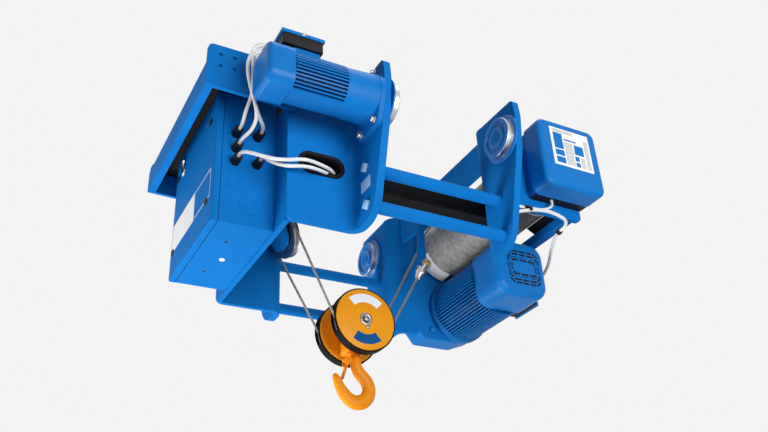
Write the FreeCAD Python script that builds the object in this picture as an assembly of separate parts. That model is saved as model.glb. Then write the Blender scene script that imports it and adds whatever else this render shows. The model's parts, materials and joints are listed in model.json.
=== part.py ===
import FreeCAD, Part
import math
import os

V = FreeCAD.Vector
os.makedirs("parts", exist_ok=True)

# Wire rope hoist on a low-headroom monorail trolley. Millimetres; X across the beam, Y along it, Z up.
# The origin is midway between the four wheels, on the flange they run on.

# Trolley wheels
wheel_r = 62.5
wheel_base = 860.0
wheel_gap = 360.0
tread_w = 21.0
flange_r = 76.0
flange_w = 6.0
axle_r = 15.0
run_fit = 0.05

# Trolley frame: four bent brackets, each a cheek with a cross plate
cheek_t = 22.0
plate_t = 15.0
frame_y = 291.0
bend_in = 25.0
bend_out = 40.0
cheek_out = 500.0
frame_top = 175.0
frame_foot = -281.0
left_reach = 430.0
right_reach = 602.0
far_reach = 300.0
left_top = 110.0
bar_r = 18.0
near_bar_y = cheek_out - 134.0
far_bar_y = cheek_out - 116.0
near_bar_z = (-118.0, -236.0)
far_bar_z = (-58.0, -218.0)
back_t = 15.0
side_x = 250.0
side_t = 12.0
side_z = (62.0, 174.0)

# Grommet slot in the left near cross plate, and the duct that crosses the gap behind it
slot_x = 102.0 - left_reach
slot_z = -89.5
slot_long = 128.0
slot_high = 60.0
duct_high = 64.0
duct_deep = 46.0
duct_z = -90.0

# Control cabinet
cab_x = -left_reach - 10.0
cab_deep = 145.0
cab_long = 400.0
cab_z = (-276.0, 144.0)
cab_wall = 2.0
lid_deep = 19.0
gland_len = 30.0
gland_outer = cab_x - 107.0
gland_inner = cab_x - 44.0
gland_xz = ((gland_outer, 9.5), (gland_outer + 1, -38.5), (gland_inner, 14.5), (gland_outer, -81.5), (gland_inner, -77.5))

# Buffer bracket round the cabinet
buf_t = 12.0
buf_x = cab_deep + lid_deep + 56.0 + buf_t - cab_x
buf_z = (75.0, 152.0)
buf_top = 219.0
buf_far_top = 192.0
buf_lip = 12.0
buf_roof_t = 4.0
buf_hole_r = 5.5
buf_pitch = 40.0
buf_hole_x = 58.0 - buf_x
buf_hole_z = 168.0

# Travel drive, in line with the near left wheel
drive_flange_r = 76.0
drive_flange_t = 15.0
drive_gear_end = 340.0
drive_fin_end = 490.0
drive_end = 566.0
drive_core_r = 61.0
drive_fin_r = 71.0
drive_fin_count = 44
drive_bolts = ((-24.0, -81.0), (56.0, -84.0))
travel_box_x = 405.0
travel_box_h = 36.0

# Rope drum
drum_x = 436.0
drum_z = 60.0
drum_r = 99.7
rope_r = 4.0
drum_near = -248.0
drum_far = 283.0
wrap_near = -238.0
rope_pitch = 9.0
rope_groove = 3.4
guide_w = 32.0
guide_hood = 23.0

# Hoist motor below the drum, and the gearbox that joins the two
motor_x = 478.0
motor_z = -165.5
motor_core_r = 99.0
motor_fin_r = 113.0
motor_fin_count = 64
motor_fin_y = (26.0, 265.0)
motor_fan_y = -110.0
hoist_box_y = (44.0, 166.0)
hoist_box_z = (-209.0, -97.0)
hoist_box_d = 54.0
fan_r = 115.0
gear_deep = 80.0
gear_stub_r = 50.0
tie_x = 563.0
tie_z = -44.0
tie_w = 30.0
tie_h = 32.0

# Limit switch housing on the near drum plate
limit_x = (382.0, 621.0)
limit_z = (-26.0, 227.0)
limit_y = (-404.0, -330.0)

# Hook block and reeving
block_y = 182.0
block_z = -340.5
sheave_pitch_r = 90.0
sheave_r = 98.0
sheave_w = 26.0
return_pitch_r = 85.0
sheave_gap = 122.0
cover_r = 102.5
cover_t = 4.0
house_w = 38.0
guard_slot = 10.0
pin_r = 18.0
shank_r = 16.0
return_at = V(-257.0, block_y, -37.5)
anchor_at = V(245.0, block_y - sheave_gap / 2, -95.0)
socket_len = 62.0

# Cables
cable_r = 5.5

cheek_x = wheel_gap / 2 + tread_w + flange_w + 2.0
cheek_far = cheek_x + cheek_t
inner_y = frame_y - plate_t
axle_y = wheel_base / 2
rope_pitch_r = drum_r + 0.3 + rope_r
front_y = block_y - sheave_gap / 2
rear_y = block_y + sheave_gap / 2
crosshead_w = sheave_gap - house_w


def box(x0, x1, y0, y1, z0, z1):
    lo = V(min(x0, x1), min(y0, y1), min(z0, z1))
    return Part.makeBox(abs(x1 - x0), abs(y1 - y0), abs(z1 - z0), lo)


def unit(v):
    return v * (1.0 / v.Length)


def rounded(points, radii, closed):
    """A wire through the points, each corner replaced by an arc of its radius."""
    n = len(points)
    arcs = {}
    before = list(points)
    after = list(points)
    for i in range(n):
        end = not closed and i in (0, n - 1)
        if end or radii[i] <= 0:
            continue
        p = points[i]
        u = unit(points[i - 1] - p)
        w = unit(points[(i + 1) % n] - p)
        half = u.getAngle(w) / 2
        before[i] = p + u * (radii[i] / math.tan(half))
        after[i] = p + w * (radii[i] / math.tan(half))
        mid = p + unit(u + w) * (radii[i] / math.sin(half) - radii[i])
        arcs[i] = Part.Arc(before[i], mid, after[i]).toShape()
    edges = []
    for i in range(n):
        if i in arcs:
            edges.append(arcs[i])
        if closed or i < n - 1:
            a = after[i]
            b = before[(i + 1) % n]
            if a.distanceToPoint(b) > 1e-4:
                edges.append(Part.LineSegment(a, b).toShape())
    return Part.Wire(edges)


def slab(points, radii, push):
    """A flat plate: the closed rounded outline pushed through its thickness."""
    return Part.Face(rounded(points, radii, True)).extrude(push)


def plate_x(yz, radii, x0, x1):
    return slab([V(x0, y, z) for y, z in yz], radii, V(x1 - x0, 0, 0))


def plate_y(xz, radii, y0, y1):
    return slab([V(x, y0, z) for x, z in xz], radii, V(0, y1 - y0, 0))


def plate_z(xy, radii, z0, z1):
    return slab([V(x, y, z0) for x, y in xy], radii, V(0, 0, z1 - z0))


def rod(r, start, push):
    return Part.makeCylinder(r, push.Length, start, push)


def turned_x(profile, y, z):
    """A solid turned about an axis along X; profile holds (x, radius) corners."""
    pts = [V(a, y, z + r) for a, r in profile]
    return Part.Face(Part.makePolygon(pts + pts[:1])).revolve(V(0, y, z), V(1, 0, 0), 360)


def turned_y(profile, x, z):
    pts = [V(x, a, z + r) for a, r in profile]
    return Part.Face(Part.makePolygon(pts + pts[:1])).revolve(V(x, 0, z), V(0, 1, 0), 360)


def arc_rope(centre, axis, start, turn, r):
    """Rope lying round a sheave: a bent rod from the start radius, turned by so many degrees."""
    tangent = axis.cross(start)
    face = Part.Face(Part.Wire(Part.Circle(centre + start, tangent, r).toShape()))
    return face.revolve(centre, axis, turn)


def cord(name, points, r):
    """A cable: straight runs joined by arcs as large as the runs allow."""
    pts = [V(*p) for p in points]
    radii = [0.0] * len(pts)
    for i in range(1, len(pts) - 1):
        a = pts[i] - pts[i - 1]
        b = pts[i + 1] - pts[i]
        radii[i] = 0.45 * min(a.Length, b.Length) / math.tan(a.getAngle(b) / 2)
    wire = rounded(pts, radii, False)
    ring = Part.Wire(Part.Circle(pts[0], pts[1] - pts[0], r).toShape())
    tube = wire.makePipeShell([ring], True, False)
    ratio = tube.Volume / (math.pi * r * r * wire.Length)
    print(name, "radii", [round(x) for x in radii[1:-1]], "volume ratio", round(ratio, 3))
    return tube


def save(name, shape):
    """A node's STEP file: one solid, or a group of equal ones."""
    if isinstance(shape, list):
        shape = Part.makeCompound(shape)
    shape.exportStep("parts/" + name + ".step")


def cheek_outline():
    z0 = frame_foot
    y0 = inner_y - 8
    y1 = cheek_out
    pts = [(y0, z0), (y1 - 102, z0), (y1 - 16, z0 + 276), (y1, 110), (y1 - 5, frame_top - 6), (y0, frame_top)]
    return pts, [0, 80, 260, 120, 14, 0]


def bracket(sx, sy, outline, radii, bars, slot):
    """One corner of the trolley: a cheek for a wheel, bent round into a cross plate."""
    top = frame_top + 40
    foot = frame_foot - 40
    far = max(abs(x) for x, z in outline)
    ell = [(cheek_x, cheek_out + 20), (cheek_x, inner_y), (far, inner_y), (far, frame_y)]
    ell += [(cheek_far, frame_y), (cheek_far, cheek_out + 20)]
    pts = [(sx * x, sy * y) for x, y in ell]
    bent = plate_z(pts, [0, bend_out, 0, 0, bend_in, 0], foot, top)
    pts, rad = cheek_outline()
    yz = [(sy * y, z) for y, z in pts]
    keep = plate_x(yz, rad, sx * (cheek_x - 5), sx * (cheek_far + 1))
    xz = [(sx * x, z) for x, z in outline]
    keep = keep.fuse(plate_y(xz, radii, sy * (inner_y - 8), sy * (frame_y + bend_in + 10)))
    shape = bent.common(keep)
    across = V(sx * (cheek_t + 20), 0, 0)
    for y, z in bars:
        shape = shape.cut(rod(bar_r + run_fit, V(sx * (cheek_x - 10), sy * y, z), across))
    shape = shape.cut(rod(axle_r + run_fit, V(sx * (cheek_x - 10), sy * axle_y, wheel_r), across))
    if slot:
        shape = shape.cut(slot_body(slot_long, slot_high, -frame_y - 20, -inner_y + 20))
    return shape.removeSplitter()


def slot_body(long, high, y0, y1):
    """An oval plug along Y, centred on the grommet slot."""
    a = long / 2
    b = high / 2
    pts = [(slot_x - a, slot_z - b), (slot_x + a, slot_z - b), (slot_x + a, slot_z + b), (slot_x - a, slot_z + b)]
    return plate_y(pts, [b - 0.5] * 4, y0, y1)


def left_plate():
    step = cheek_far + 24
    pts = [(cheek_x - 8, frame_foot), (left_reach, frame_foot), (left_reach, left_top), (step + 45, left_top)]
    pts += [(step, frame_top), (cheek_x - 8, frame_top)]
    return pts, [0, 20, 20, 0, 0, 0]


def right_near_plate():
    low = tie_z - tie_h / 2 - 2
    pts = [(cheek_x - 8, frame_foot), (262, frame_foot), (262, low - 88), (330, low), (right_reach, low)]
    pts += [(right_reach, frame_top), (cheek_x - 8, frame_top)]
    return pts, [0, 8, 30, 30, 18, 18, 0]


def right_far_plate():
    pts = [(cheek_x - 8, frame_foot), (far_reach, frame_foot), (far_reach, frame_top), (cheek_x - 8, frame_top)]
    return pts, [0, 12, 12, 0]


def trolley_frame():
    near = [(near_bar_y, z) for z in near_bar_z]
    far = [(far_bar_y, z) for z in far_bar_z]
    save("left_near_bracket", bracket(-1, -1, *left_plate(), near, True))
    save("left_far_bracket", bracket(-1, 1, *left_plate(), far, False))
    save("right_near_bracket", bracket(1, -1, *right_near_plate(), near, False))
    save("right_far_bracket", bracket(1, 1, *right_far_plate(), far, False))
    save("left_back_plate", box(-left_reach, -left_reach + back_t, -inner_y, inner_y, frame_foot, left_top - 10))
    save("right_side_plate", box(side_x, side_x + side_t, -inner_y, inner_y, *side_z))
    across = V(2 * cheek_far, 0, 0)
    spots = [(-near_bar_y, z) for z in near_bar_z] + [(far_bar_y, z) for z in far_bar_z]
    save("cross_bars", [rod(bar_r, V(-cheek_far, y, z), across) for y, z in spots])


def cable_way():
    t = 3.0
    x0 = -left_reach + back_t
    x1 = side_x + side_t
    y0 = -inner_y
    z0 = duct_z - duct_high / 2
    z1 = duct_z + duct_high / 2
    duct = box(x0, x1, y0, y0 + duct_deep, z0, z1)
    duct = duct.cut(box(x0 - 1, x1 + 1, y0 + t, y0 + duct_deep - t, z0 + t, z1 - t))
    save("cable_duct", duct.cut(slot_body(slot_long - 24, slot_high - 16, y0 - 1, y0 + t + 1)))
    plug = slot_body(slot_long - 0.2, slot_high - 0.2, -frame_y, -inner_y)
    plug = plug.fuse(slot_body(slot_long + 10, slot_high + 10, -frame_y - 5, -frame_y))
    save("cable_grommet", plug)


def wheel(sx, sy):
    """A flanged wheel with a stepped face, running on a fixed stub axle."""
    x0 = wheel_gap / 2
    x1 = x0 + tread_w
    x2 = x1 + flange_w
    bore = axle_r + run_fit
    half = [(x0, wheel_r - 2.5), (x0 + 2.5, wheel_r), (x1, wheel_r), (x1, flange_r - 2), (x1 + 2, flange_r)]
    half += [(x2, flange_r), (x2, bore), (x0 + 4, bore), (x0 + 4, 24), (x0 + 1, 24), (x0 + 1, 34)]
    half += [(x0 + 6, 36), (x0 + 6, 48), (x0, 50)]
    return turned_x([(sx * x, r) for x, r in half], sy * axle_y, wheel_r)


def wheels():
    axles = []
    for sx, side in ((-1, "left"), (1, "right")):
        for sy, end in ((-1, "near"), (1, "far")):
            save("wheel_%s_%s" % (side, end), wheel(sx, sy))
            start = V(sx * cheek_far, sy * axle_y, wheel_r)
            axles.append(rod(axle_r, start, V(sx * (wheel_gap / 2 + 2 - cheek_far), 0, 0)))
    save("wheel_axles", axles)


def fins(core, axis, centre, y0, y1, r_in, r_out, count, t, plain):
    """Cooling fins along a motor body, but for a plain stretch between two angles in degrees."""
    shape = core
    length = y1 - y0
    for i in range(count):
        a = 2 * math.pi * (i + 0.5) / count
        if plain[0] < math.degrees(a) < plain[1]:
            continue
        fin = Part.makeBox(length, t, r_out - r_in + 3, V(y0, -t / 2, r_in - 3))
        fin.rotate(V(0, 0, 0), V(1, 0, 0), math.degrees(a))
        if axis == "Y":
            fin.rotate(V(0, 0, 0), V(0, 0, 1), 90)
        fin.translate(centre)
        shape = shape.fuse(fin)
    return shape


def squared_cover(half, depth, corner, edge):
    """A fan cover along X from the origin: a squared box with rounded sides and a rounded outer end."""
    body = box(0, -depth, -half, half, -half, half)
    body = body.makeFillet(corner, [e for e in body.Edges if abs(e.tangentAt(0).x) > 0.9])
    body = body.makeFillet(edge, [e for e in body.Edges if e.BoundBox.XMax < 0.5 - depth])
    return body


def travel_drive():
    y = -axle_y
    x0 = -cheek_far
    t = drive_flange_t
    flange = rod(drive_flange_r, V(x0, y, wheel_r), V(-t, 0, 0))
    (ya, za), (yb, zb) = drive_bolts
    foot = [(y + ya - 20, wheel_r + za - 19), (y + yb + 20, wheel_r + zb - 19), (y + drive_flange_r - 2, wheel_r),
            (y - drive_flange_r + 2, wheel_r)]
    flange = flange.fuse(plate_x(foot, [18, 18, 0, 0], x0, x0 - t))
    neck = turned_x([(x0 - t, 0), (x0 - t, drive_flange_r - 2), (-drive_gear_end, drive_fin_r - 2),
                     (-drive_gear_end, 0)], y, wheel_r)
    save("travel_gearbox", flange.fuse(neck).removeSplitter())
    core = rod(drive_core_r, V(-drive_fin_end, y, wheel_r), V(drive_fin_end - drive_gear_end, 0, 0))
    body = fins(core, "X", V(0, y, wheel_r), -drive_fin_end, -drive_gear_end, drive_core_r, drive_fin_r,
                drive_fin_count, 4.4, (145, 215))
    belly = box(-drive_fin_end, -drive_gear_end, y - 33, y + 33, wheel_r - drive_fin_r, wheel_r - 40)
    round_body = rod(drive_fin_r - 0.5, V(-drive_fin_end, y, wheel_r), V(drive_fin_end - drive_gear_end, 0, 0))
    body = body.fuse(belly.common(round_body))
    pad_top = wheel_r + drive_fin_r + 0.8
    body = body.fuse(box(-drive_fin_end + 4, -travel_box_x - 6, y - 40, y + 40, wheel_r + 40, pad_top))
    save("travel_motor", body)
    cover = squared_cover(drive_fin_r - 6, drive_end - drive_fin_end, 34, 16)
    cover.translate(V(-drive_fin_end, y, wheel_r))
    save("travel_fan_cover", cover)
    z1 = pad_top + travel_box_h
    tb = box(-travel_box_x - 117, -travel_box_x, y - 50, y + 50, pad_top, z1)
    save("travel_terminal_box", tb.makeFillet(5, [e for e in tb.Edges if abs(e.tangentAt(0).z) > 0.9]))
    lid = box(-travel_box_x - 121, -travel_box_x + 4, y - 53, y + 53, z1, z1 + 12)
    save("travel_terminal_lid", lid.makeFillet(4, [e for e in lid.Edges if e.CenterOfMass.z > z1 + 11]))


def cabinet():
    x1 = cab_x - cab_deep
    h = cab_long / 2
    z0, z1 = cab_z
    w = cab_wall
    shell = box(cab_x, x1, -h, h, z0, z1)
    shell = shell.cut(box(cab_x - w, x1 - 1, -h + w, h - w, z0 + w, z1 - w))
    for s in (-1, 1):
        shell = shell.fuse(box(-left_reach, cab_x, s * 130 - 15, s * 130 + 15, z0 + 60, left_top - 12))
    for x, z in gland_xz:
        shell = shell.cut(rod(9.1, V(x, -h - 1, z), V(0, w + 2, 0)))
    save("cabinet_body", shell.removeSplitter())
    lid = box(x1, x1 - lid_deep, -h - 1, h + 1, z0 - 1, z1 + 1)
    lid = lid.makeFillet(5, [e for e in lid.Edges if e.CenterOfMass.x < x1 - lid_deep + 0.5])
    lid = lid.cut(box(x1 + 1, x1 - lid_deep + 2, -h + 2, h - 2, z0 + 2, z1 - 2))
    save("cabinet_cover", lid)
    glands = []
    for x, z in gland_xz:
        at = V(x, -h, z)
        hexagon = Part.makePolygon([at + V(15 * math.cos(k * math.pi / 3), 0, 15 * math.sin(k * math.pi / 3))
                                    for k in range(7)])
        gland = Part.Face(hexagon).extrude(V(0, -10, 0))
        gland = gland.fuse(rod(12.5, at + V(0, -10, 0), V(0, -gland_len + 10, 0)))
        gland = gland.fuse(rod(9, at, V(0, 10, 0)))
        glands.append(gland)
    save("cable_glands", glands)


def buffer_bracket():
    """A lipped bar bent round the cabinet, roofed over it, with a plate standing up at each end."""
    y1 = frame_y + buf_t
    z0, z1 = buf_z
    x1 = -left_reach + 25
    shape = box(-buf_x, -buf_x + buf_t, -y1, y1, z0, z1)
    shape = shape.fuse(box(-buf_x, -buf_x + buf_t + buf_lip, -frame_y, frame_y, z0, z0 + buf_lip))
    shape = shape.fuse(box(-buf_x, x1, -frame_y, frame_y, z1 - buf_roof_t, z1))
    for s, top, corner in ((-1, buf_top, 16), (1, buf_far_top, 30)):
        pts = [(-buf_x, z0), (x1, z0 - 8), (x1, left_top - 6), (-left_reach - 10, left_top)]
        pts += [(-left_reach - 75, top), (-buf_x + 2, top)]
        end = plate_y(pts, [0, 6, 6, 40, 10, corner], s * frame_y, s * y1)
        if s < 0:
            for dx in (-1, 1):
                for dz in (-1, 1):
                    at = V(buf_hole_x + dx * buf_pitch / 2, -y1 - 1, buf_hole_z + dz * buf_pitch / 2)
                    end = end.cut(rod(buf_hole_r, at, V(0, buf_t + 2, 0)))
        shape = shape.fuse(end)
    save("buffer_bracket", shape.removeSplitter())


def drum():
    """The rope drum: a hollow shell on two stubs, with its wound rope."""
    r = drum_r
    half = [(drum_near - 28, 0), (drum_near - 28, 25), (drum_near - 10, 25), (drum_near - 10, r + 12)]
    half += [(drum_near, r + 12), (drum_near, r), (drum_far, r), (drum_far, gear_stub_r)]
    half += [(drum_far + 60, gear_stub_r), (drum_far + 60, 0), (drum_far - 12, 0), (drum_far - 12, r - 10)]
    half += [(drum_near + 2, r - 10), (drum_near + 2, 0)]
    save("drum_shell", turned_y(half, drum_x, drum_z))
    y1 = rear_y - rope_r - 0.5
    top = r + 0.3 + 2 * rope_r
    turns = int((y1 - wrap_near) / rope_pitch + 0.01)
    pitch = (y1 - wrap_near) / turns
    winding = [(wrap_near, r + 0.1)]
    for k in range(turns):
        a = wrap_near + k * pitch
        winding += [(a, top - rope_groove), (a + pitch * 0.32, top), (a + pitch * 0.68, top)]
    winding += [(y1, top - rope_groove), (y1, r + 0.1)]
    save("rope_winding", turned_y(winding, drum_x, drum_z))
    y0 = drum_near - 28
    seat = [(-inner_y, 25 + run_fit), (-inner_y, 70), (y0 + 8, 70), (y0 + 14, 40), (y0 + 14, 25 + run_fit)]
    save("drum_bearing", turned_y(seat, drum_x, drum_z))


def sector(a0, a1, y0, y1):
    """A wedge about the drum axis between two angles, to cut an opening in the guide."""
    reach = 220.0
    corner = []
    for a in (math.radians(a0), math.radians((a0 + a1) / 2), math.radians(a1)):
        corner.append((drum_x + reach * math.cos(a), drum_z + reach * math.sin(a)))
    return plate_y([(drum_x, drum_z)] + corner, [0] * 4, y0, y1)


def rope_guide():
    """A split ring that rides along the drum with the rope, kept from turning by the tie bar."""
    y0 = rear_y + rope_r + 1
    y1 = y0 + guide_w
    r0 = drum_r + 0.3 + 2 * rope_r + 1.5
    r1 = r0 + 5
    ring = turned_y([(y0, r0), (y0, r1), (y1, r1), (y1, r0)], drum_x, drum_z)
    hood = turned_y([(y0 - guide_hood, r0), (y0 - guide_hood, r1), (y0, r1), (y0, r0)], drum_x, drum_z)
    hood = hood.cut(sector(132, 200, y0 - guide_hood - 1, y0))
    ring = ring.fuse(hood).cut(sector(-99, -60, y0 - guide_hood - 1, y1 + 1))
    w = tie_w / 2
    h = tie_h / 2
    sleeve = box(tie_x - w - 5, tie_x + w + 5, y0, y1, tie_z - h - 4, tie_z + h + 6)
    arm = plate_y([(drum_x + r0 * math.cos(-0.6) + 1.5, drum_z + r0 * math.sin(-0.6)),
                   (drum_x + r0 * math.cos(-0.35) + 1.5, drum_z + r0 * math.sin(-0.35)),
                   (tie_x + w, tie_z + h + 3), (tie_x - w - 2, tie_z + h + 3)], [0, 0, 0, 0], y0 + 4, y1 - 4)
    shape = ring.fuse(arm).fuse(sleeve)
    shape = shape.cut(box(tie_x - w - 0.5, tie_x + w + 0.5, y0 - 1, y1 + 1, tie_z - h - 0.5, tie_z + h + 0.5))
    save("rope_guide", shape.removeSplitter())


def hoist_drive():
    y0, y1 = motor_fin_y
    core = rod(motor_core_r, V(motor_x, y0, motor_z), V(0, y1 - y0, 0))
    body = fins(core, "Y", V(motor_x, 0, motor_z), y0, y1, motor_core_r, motor_fin_r, motor_fin_count, 4.6,
                (-1, -1))
    pad = motor_x + motor_fin_r + 0.6
    body = body.fuse(box(motor_x + 50, pad, hoist_box_y[0] + 8, hoist_box_y[1] - 8, hoist_box_z[0] + 10, hoist_box_z[1] - 10))
    flange = turned_y([(y1, 0), (y1, motor_fin_r), (y1 + 8, motor_fin_r + 6), (frame_y, motor_fin_r + 6), (frame_y, 0)],
                      motor_x, motor_z)
    save("hoist_motor", body.fuse(flange))
    cover = squared_cover(fan_r * 0.87, y0 - motor_fan_y, 50, 24)
    cover.rotate(V(0, 0, 0), V(0, 0, 1), 90)
    cover.translate(V(motor_x, y0, motor_z))
    save("hoist_fan_cover", cover)
    y2, y3 = hoist_box_y
    z2, z3 = hoist_box_z
    tb = box(pad, pad + hoist_box_d, y2, y3, z2, z3)
    save("hoist_terminal_box", tb.makeFillet(6, [e for e in tb.Edges if abs(e.tangentAt(0).x) > 0.9]))
    x2 = pad + hoist_box_d
    lid = box(x2, x2 + 10, y2 - 3, y3 + 3, z2 - 3, z3 + 3)
    save("hoist_terminal_lid", lid.makeFillet(4, [e for e in lid.Edges if e.CenterOfMass.x > x2 + 9]))
    x4 = cheek_far + bend_in + 1
    z4 = motor_z - motor_fin_r
    pts = [(x4, drum_z + 140), (x4, motor_z - 24), (x4 + 70, z4 - 6), (motor_x - 4, z4 - 6), (motor_x + 84, z4 + 29)]
    pts += [(motor_x + 128, motor_z + 15), (drum_x + 166, drum_z), (drum_x + 124, drum_z + 145)]
    case = plate_y(pts, [50, 30, 12, 60, 60, 60, 60, 80], frame_y, frame_y + gear_deep)
    case = case.cut(rod(gear_stub_r + 0.1, V(drum_x, frame_y - 1, drum_z), V(0, drum_far + 64 - frame_y, 0)))
    save("hoist_gearbox", case)
    save("drum_tie_bar", box(tie_x - tie_w / 2, tie_x + tie_w / 2, -inner_y, frame_y,
                             tie_z - tie_h / 2, tie_z + tie_h / 2))


def limit_switch():
    x0, x1 = limit_x
    z0, z1 = limit_z
    y0, y1 = limit_y
    save("limit_switch_base", box(x0 + 14, x1 - 16, y1, -frame_y, z0 + 6, z1 - 12))
    lid = box(x0, x1, y0, y1, z0, z1)
    lid = lid.makeFillet(30, [e for e in lid.Edges if abs(e.tangentAt(0).y) > 0.9])
    lid = lid.makeFillet(14, [e for e in lid.Edges if e.CenterOfMass.y < y0 + 0.5])
    save("limit_switch_cover", lid)


def fall_angle(dx, dz, r_block, r_top):
    """Lean of a fall from the upright, tangent under the block's sheave and to the round above it."""
    a = 0.4
    for _ in range(40):
        s = r_block + r_top
        a = math.atan2(dx - s * math.cos(a), dz + s * math.sin(a))
    return a


def sheave(centre, tilt, pitch):
    """A grooved sheave about an axis along X, leaned over about Y."""
    w = sheave_w / 2
    g = pitch - rope_r - 0.4
    rim = pitch + sheave_r - sheave_pitch_r
    half = [(-w, pin_r + run_fit + 0.02), (-w, 38), (-7, 42), (-7, rim - 24), (-w + 3, rim - 12), (-w + 3, rim)]
    half += [(-9, rim), (-3.5, g), (3.5, g), (9, rim)]
    half += [(w - 3, rim), (w - 3, rim - 12), (7, rim - 24), (7, 42), (w, 38), (w, pin_r + run_fit + 0.02)]
    shape = turned_x(half, 0, 0)
    if tilt is None:
        shape.rotate(V(0, 0, 0), V(0, 0, 1), 90)
    else:
        shape.rotate(V(0, 0, 0), V(0, 1, 0), -math.degrees(tilt))
    shape.translate(centre)
    return shape


def return_sheave(lean):
    """The fixed upper sheave in the left unit, leaned to face its two falls, and its fork."""
    w = sheave_w / 2 + 2
    forks = []
    for s in (-1, 1):
        x0, x1 = sorted((s * w, s * (w + 8)))
        cheek = plate_x([(-60, -62), (60, -62), (60, 60), (34, 132), (-34, 132), (-60, 60)], [50, 50, 30, 10, 10, 30],
                        x0, x1)
        forks.append(cheek)
    fork = forks[0].fuse(forks[1]).fuse(box(-w, w, -34, 34, 106, 132))
    fork = fork.cut(rod(pin_r + run_fit, V(-60, 0, 0), V(120, 0, 0)))
    pin = rod(pin_r, V(-w - 12, 0, 0), V(2 * w + 24, 0, 0))
    for shape in (fork, pin):
        shape.rotate(V(0, 0, 0), V(0, 1, 0), -math.degrees(lean))
        shape.translate(return_at)
    top = return_at + V(-math.sin(lean), 0, math.cos(lean)) * 119
    arm = box(-left_reach + back_t, top.x, return_at.y - 34, return_at.y + 34, top.z - 16, top.z + 12)
    save("return_sheave_bracket", fork.fuse(arm).removeSplitter())
    save("return_sheave_axle", pin)
    save("return_sheave", sheave(return_at, lean, return_pitch_r))


def falls():
    """The four falls between hoist and block, the rope round the sheaves, and the fixed rope end."""
    r = sheave_pitch_r
    rr = return_pitch_r
    lean_l = fall_angle(-return_at.x, return_at.z - block_z, r, 0)
    lean_r = fall_angle(drum_x, drum_z - block_z, r, rope_pitch_r)
    lean_a = fall_angle(anchor_at.x, anchor_at.z - block_z, r, 0)
    down = V(math.sin(lean_l), 0, -math.cos(lean_l))
    span = V(return_at.x, 0, return_at.z) - V(0, 0, block_z)
    beta = math.atan2(rr - sheave_gap / 2, span.Length)
    ends = {}
    for name, y, s in (("front", front_y, -1), ("rear", rear_y, 1)):
        low = V(-r * math.cos(lean_l), y, block_z - r * math.sin(lean_l))
        high = return_at + V(0, s * rr * math.cos(beta), 0) + down * (rr * math.sin(beta))
        run = unit(low - high)
        high = high + run * 0.4
        low = low - run * 0.6
        save("fall_return_" + name, rod(rope_r, high, low - high))
    top = V(drum_x - rope_pitch_r * math.cos(lean_r), rear_y, drum_z + rope_pitch_r * math.sin(lean_r))
    low = V(r * math.cos(lean_r), rear_y, block_z - r * math.sin(lean_r))
    run = unit(top - low)
    save("fall_drum", rod(rope_r, low + run * 0.6, top - low - run * 1.0))
    low = V(r * math.cos(lean_a), front_y, block_z - r * math.sin(lean_a))
    run = unit(anchor_at - low)
    start = anchor_at - run * socket_len
    save("fall_anchor", rod(rope_r, low + run * 0.6, start - low - run * 1.0))
    wraps = []
    for y, lean in ((front_y, lean_a), (rear_y, lean_r)):
        first = V(-r * math.cos(lean_l), 0, -r * math.sin(lean_l))
        turn = 180 - math.degrees(lean_l) - math.degrees(lean)
        wraps.append(arc_rope(V(0, y, block_z), V(0, -1, 0), first, turn, rope_r))
    save("block_rope", wraps)
    axis = V(math.cos(lean_l), 0, math.sin(lean_l))
    first = V(0, rr * math.cos(beta), 0) + down * (rr * math.sin(beta))
    save("return_rope", arc_rope(return_at, axis, first, 180 + 2 * math.degrees(beta), rope_r))
    rope_end(run)
    return_sheave(lean_l)


def rope_end(run):
    """The fixed end: a lug on the side plate, a pin, and a wedge socket on the rope."""
    y = anchor_at.y
    x1 = side_x
    pts = [(x1, side_z[0] + 20), (x1, anchor_at.z + 30), (anchor_at.x + 18, anchor_at.z - 16)]
    pts += [(anchor_at.x - 22, anchor_at.z - 16), (anchor_at.x - 22, anchor_at.z + 60), (x1 - 14, side_z[0] + 20)]
    lug = plate_y(pts, [0, 30, 14, 14, 30, 0], y - 9, y + 9)
    lug = lug.cut(rod(8.05, anchor_at - V(0, 30, 0), V(0, 60, 0)))
    save("anchor_lug", lug)
    save("anchor_pin", rod(8.0, anchor_at - V(0, 27, 0), V(0, 54, 0)))
    tip = anchor_at - run * socket_len
    body = Part.makeCone(8, 21, socket_len - 24, tip, run)
    eyes = []
    for s in (-1, 1):
        eye = rod(17, anchor_at + V(0, s * 9.4, 0), V(0, s * 10, 0))
        link = Part.makeCylinder(8, 40, anchor_at - run * 42 + V(0, s * 14.5, 0), run)
        eyes.append(eye.fuse(link))
    body = body.fuse(eyes[0]).fuse(eyes[1])
    body = body.cut(rod(8.05, anchor_at - V(0, 40, 0), V(0, 80, 0)))
    body = body.cut(box(anchor_at.x - 90, anchor_at.x + 40, y - 9.3, y + 9.3, anchor_at.z - 24, anchor_at.z + 40))
    save("rope_socket", body.removeSplitter())


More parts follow.
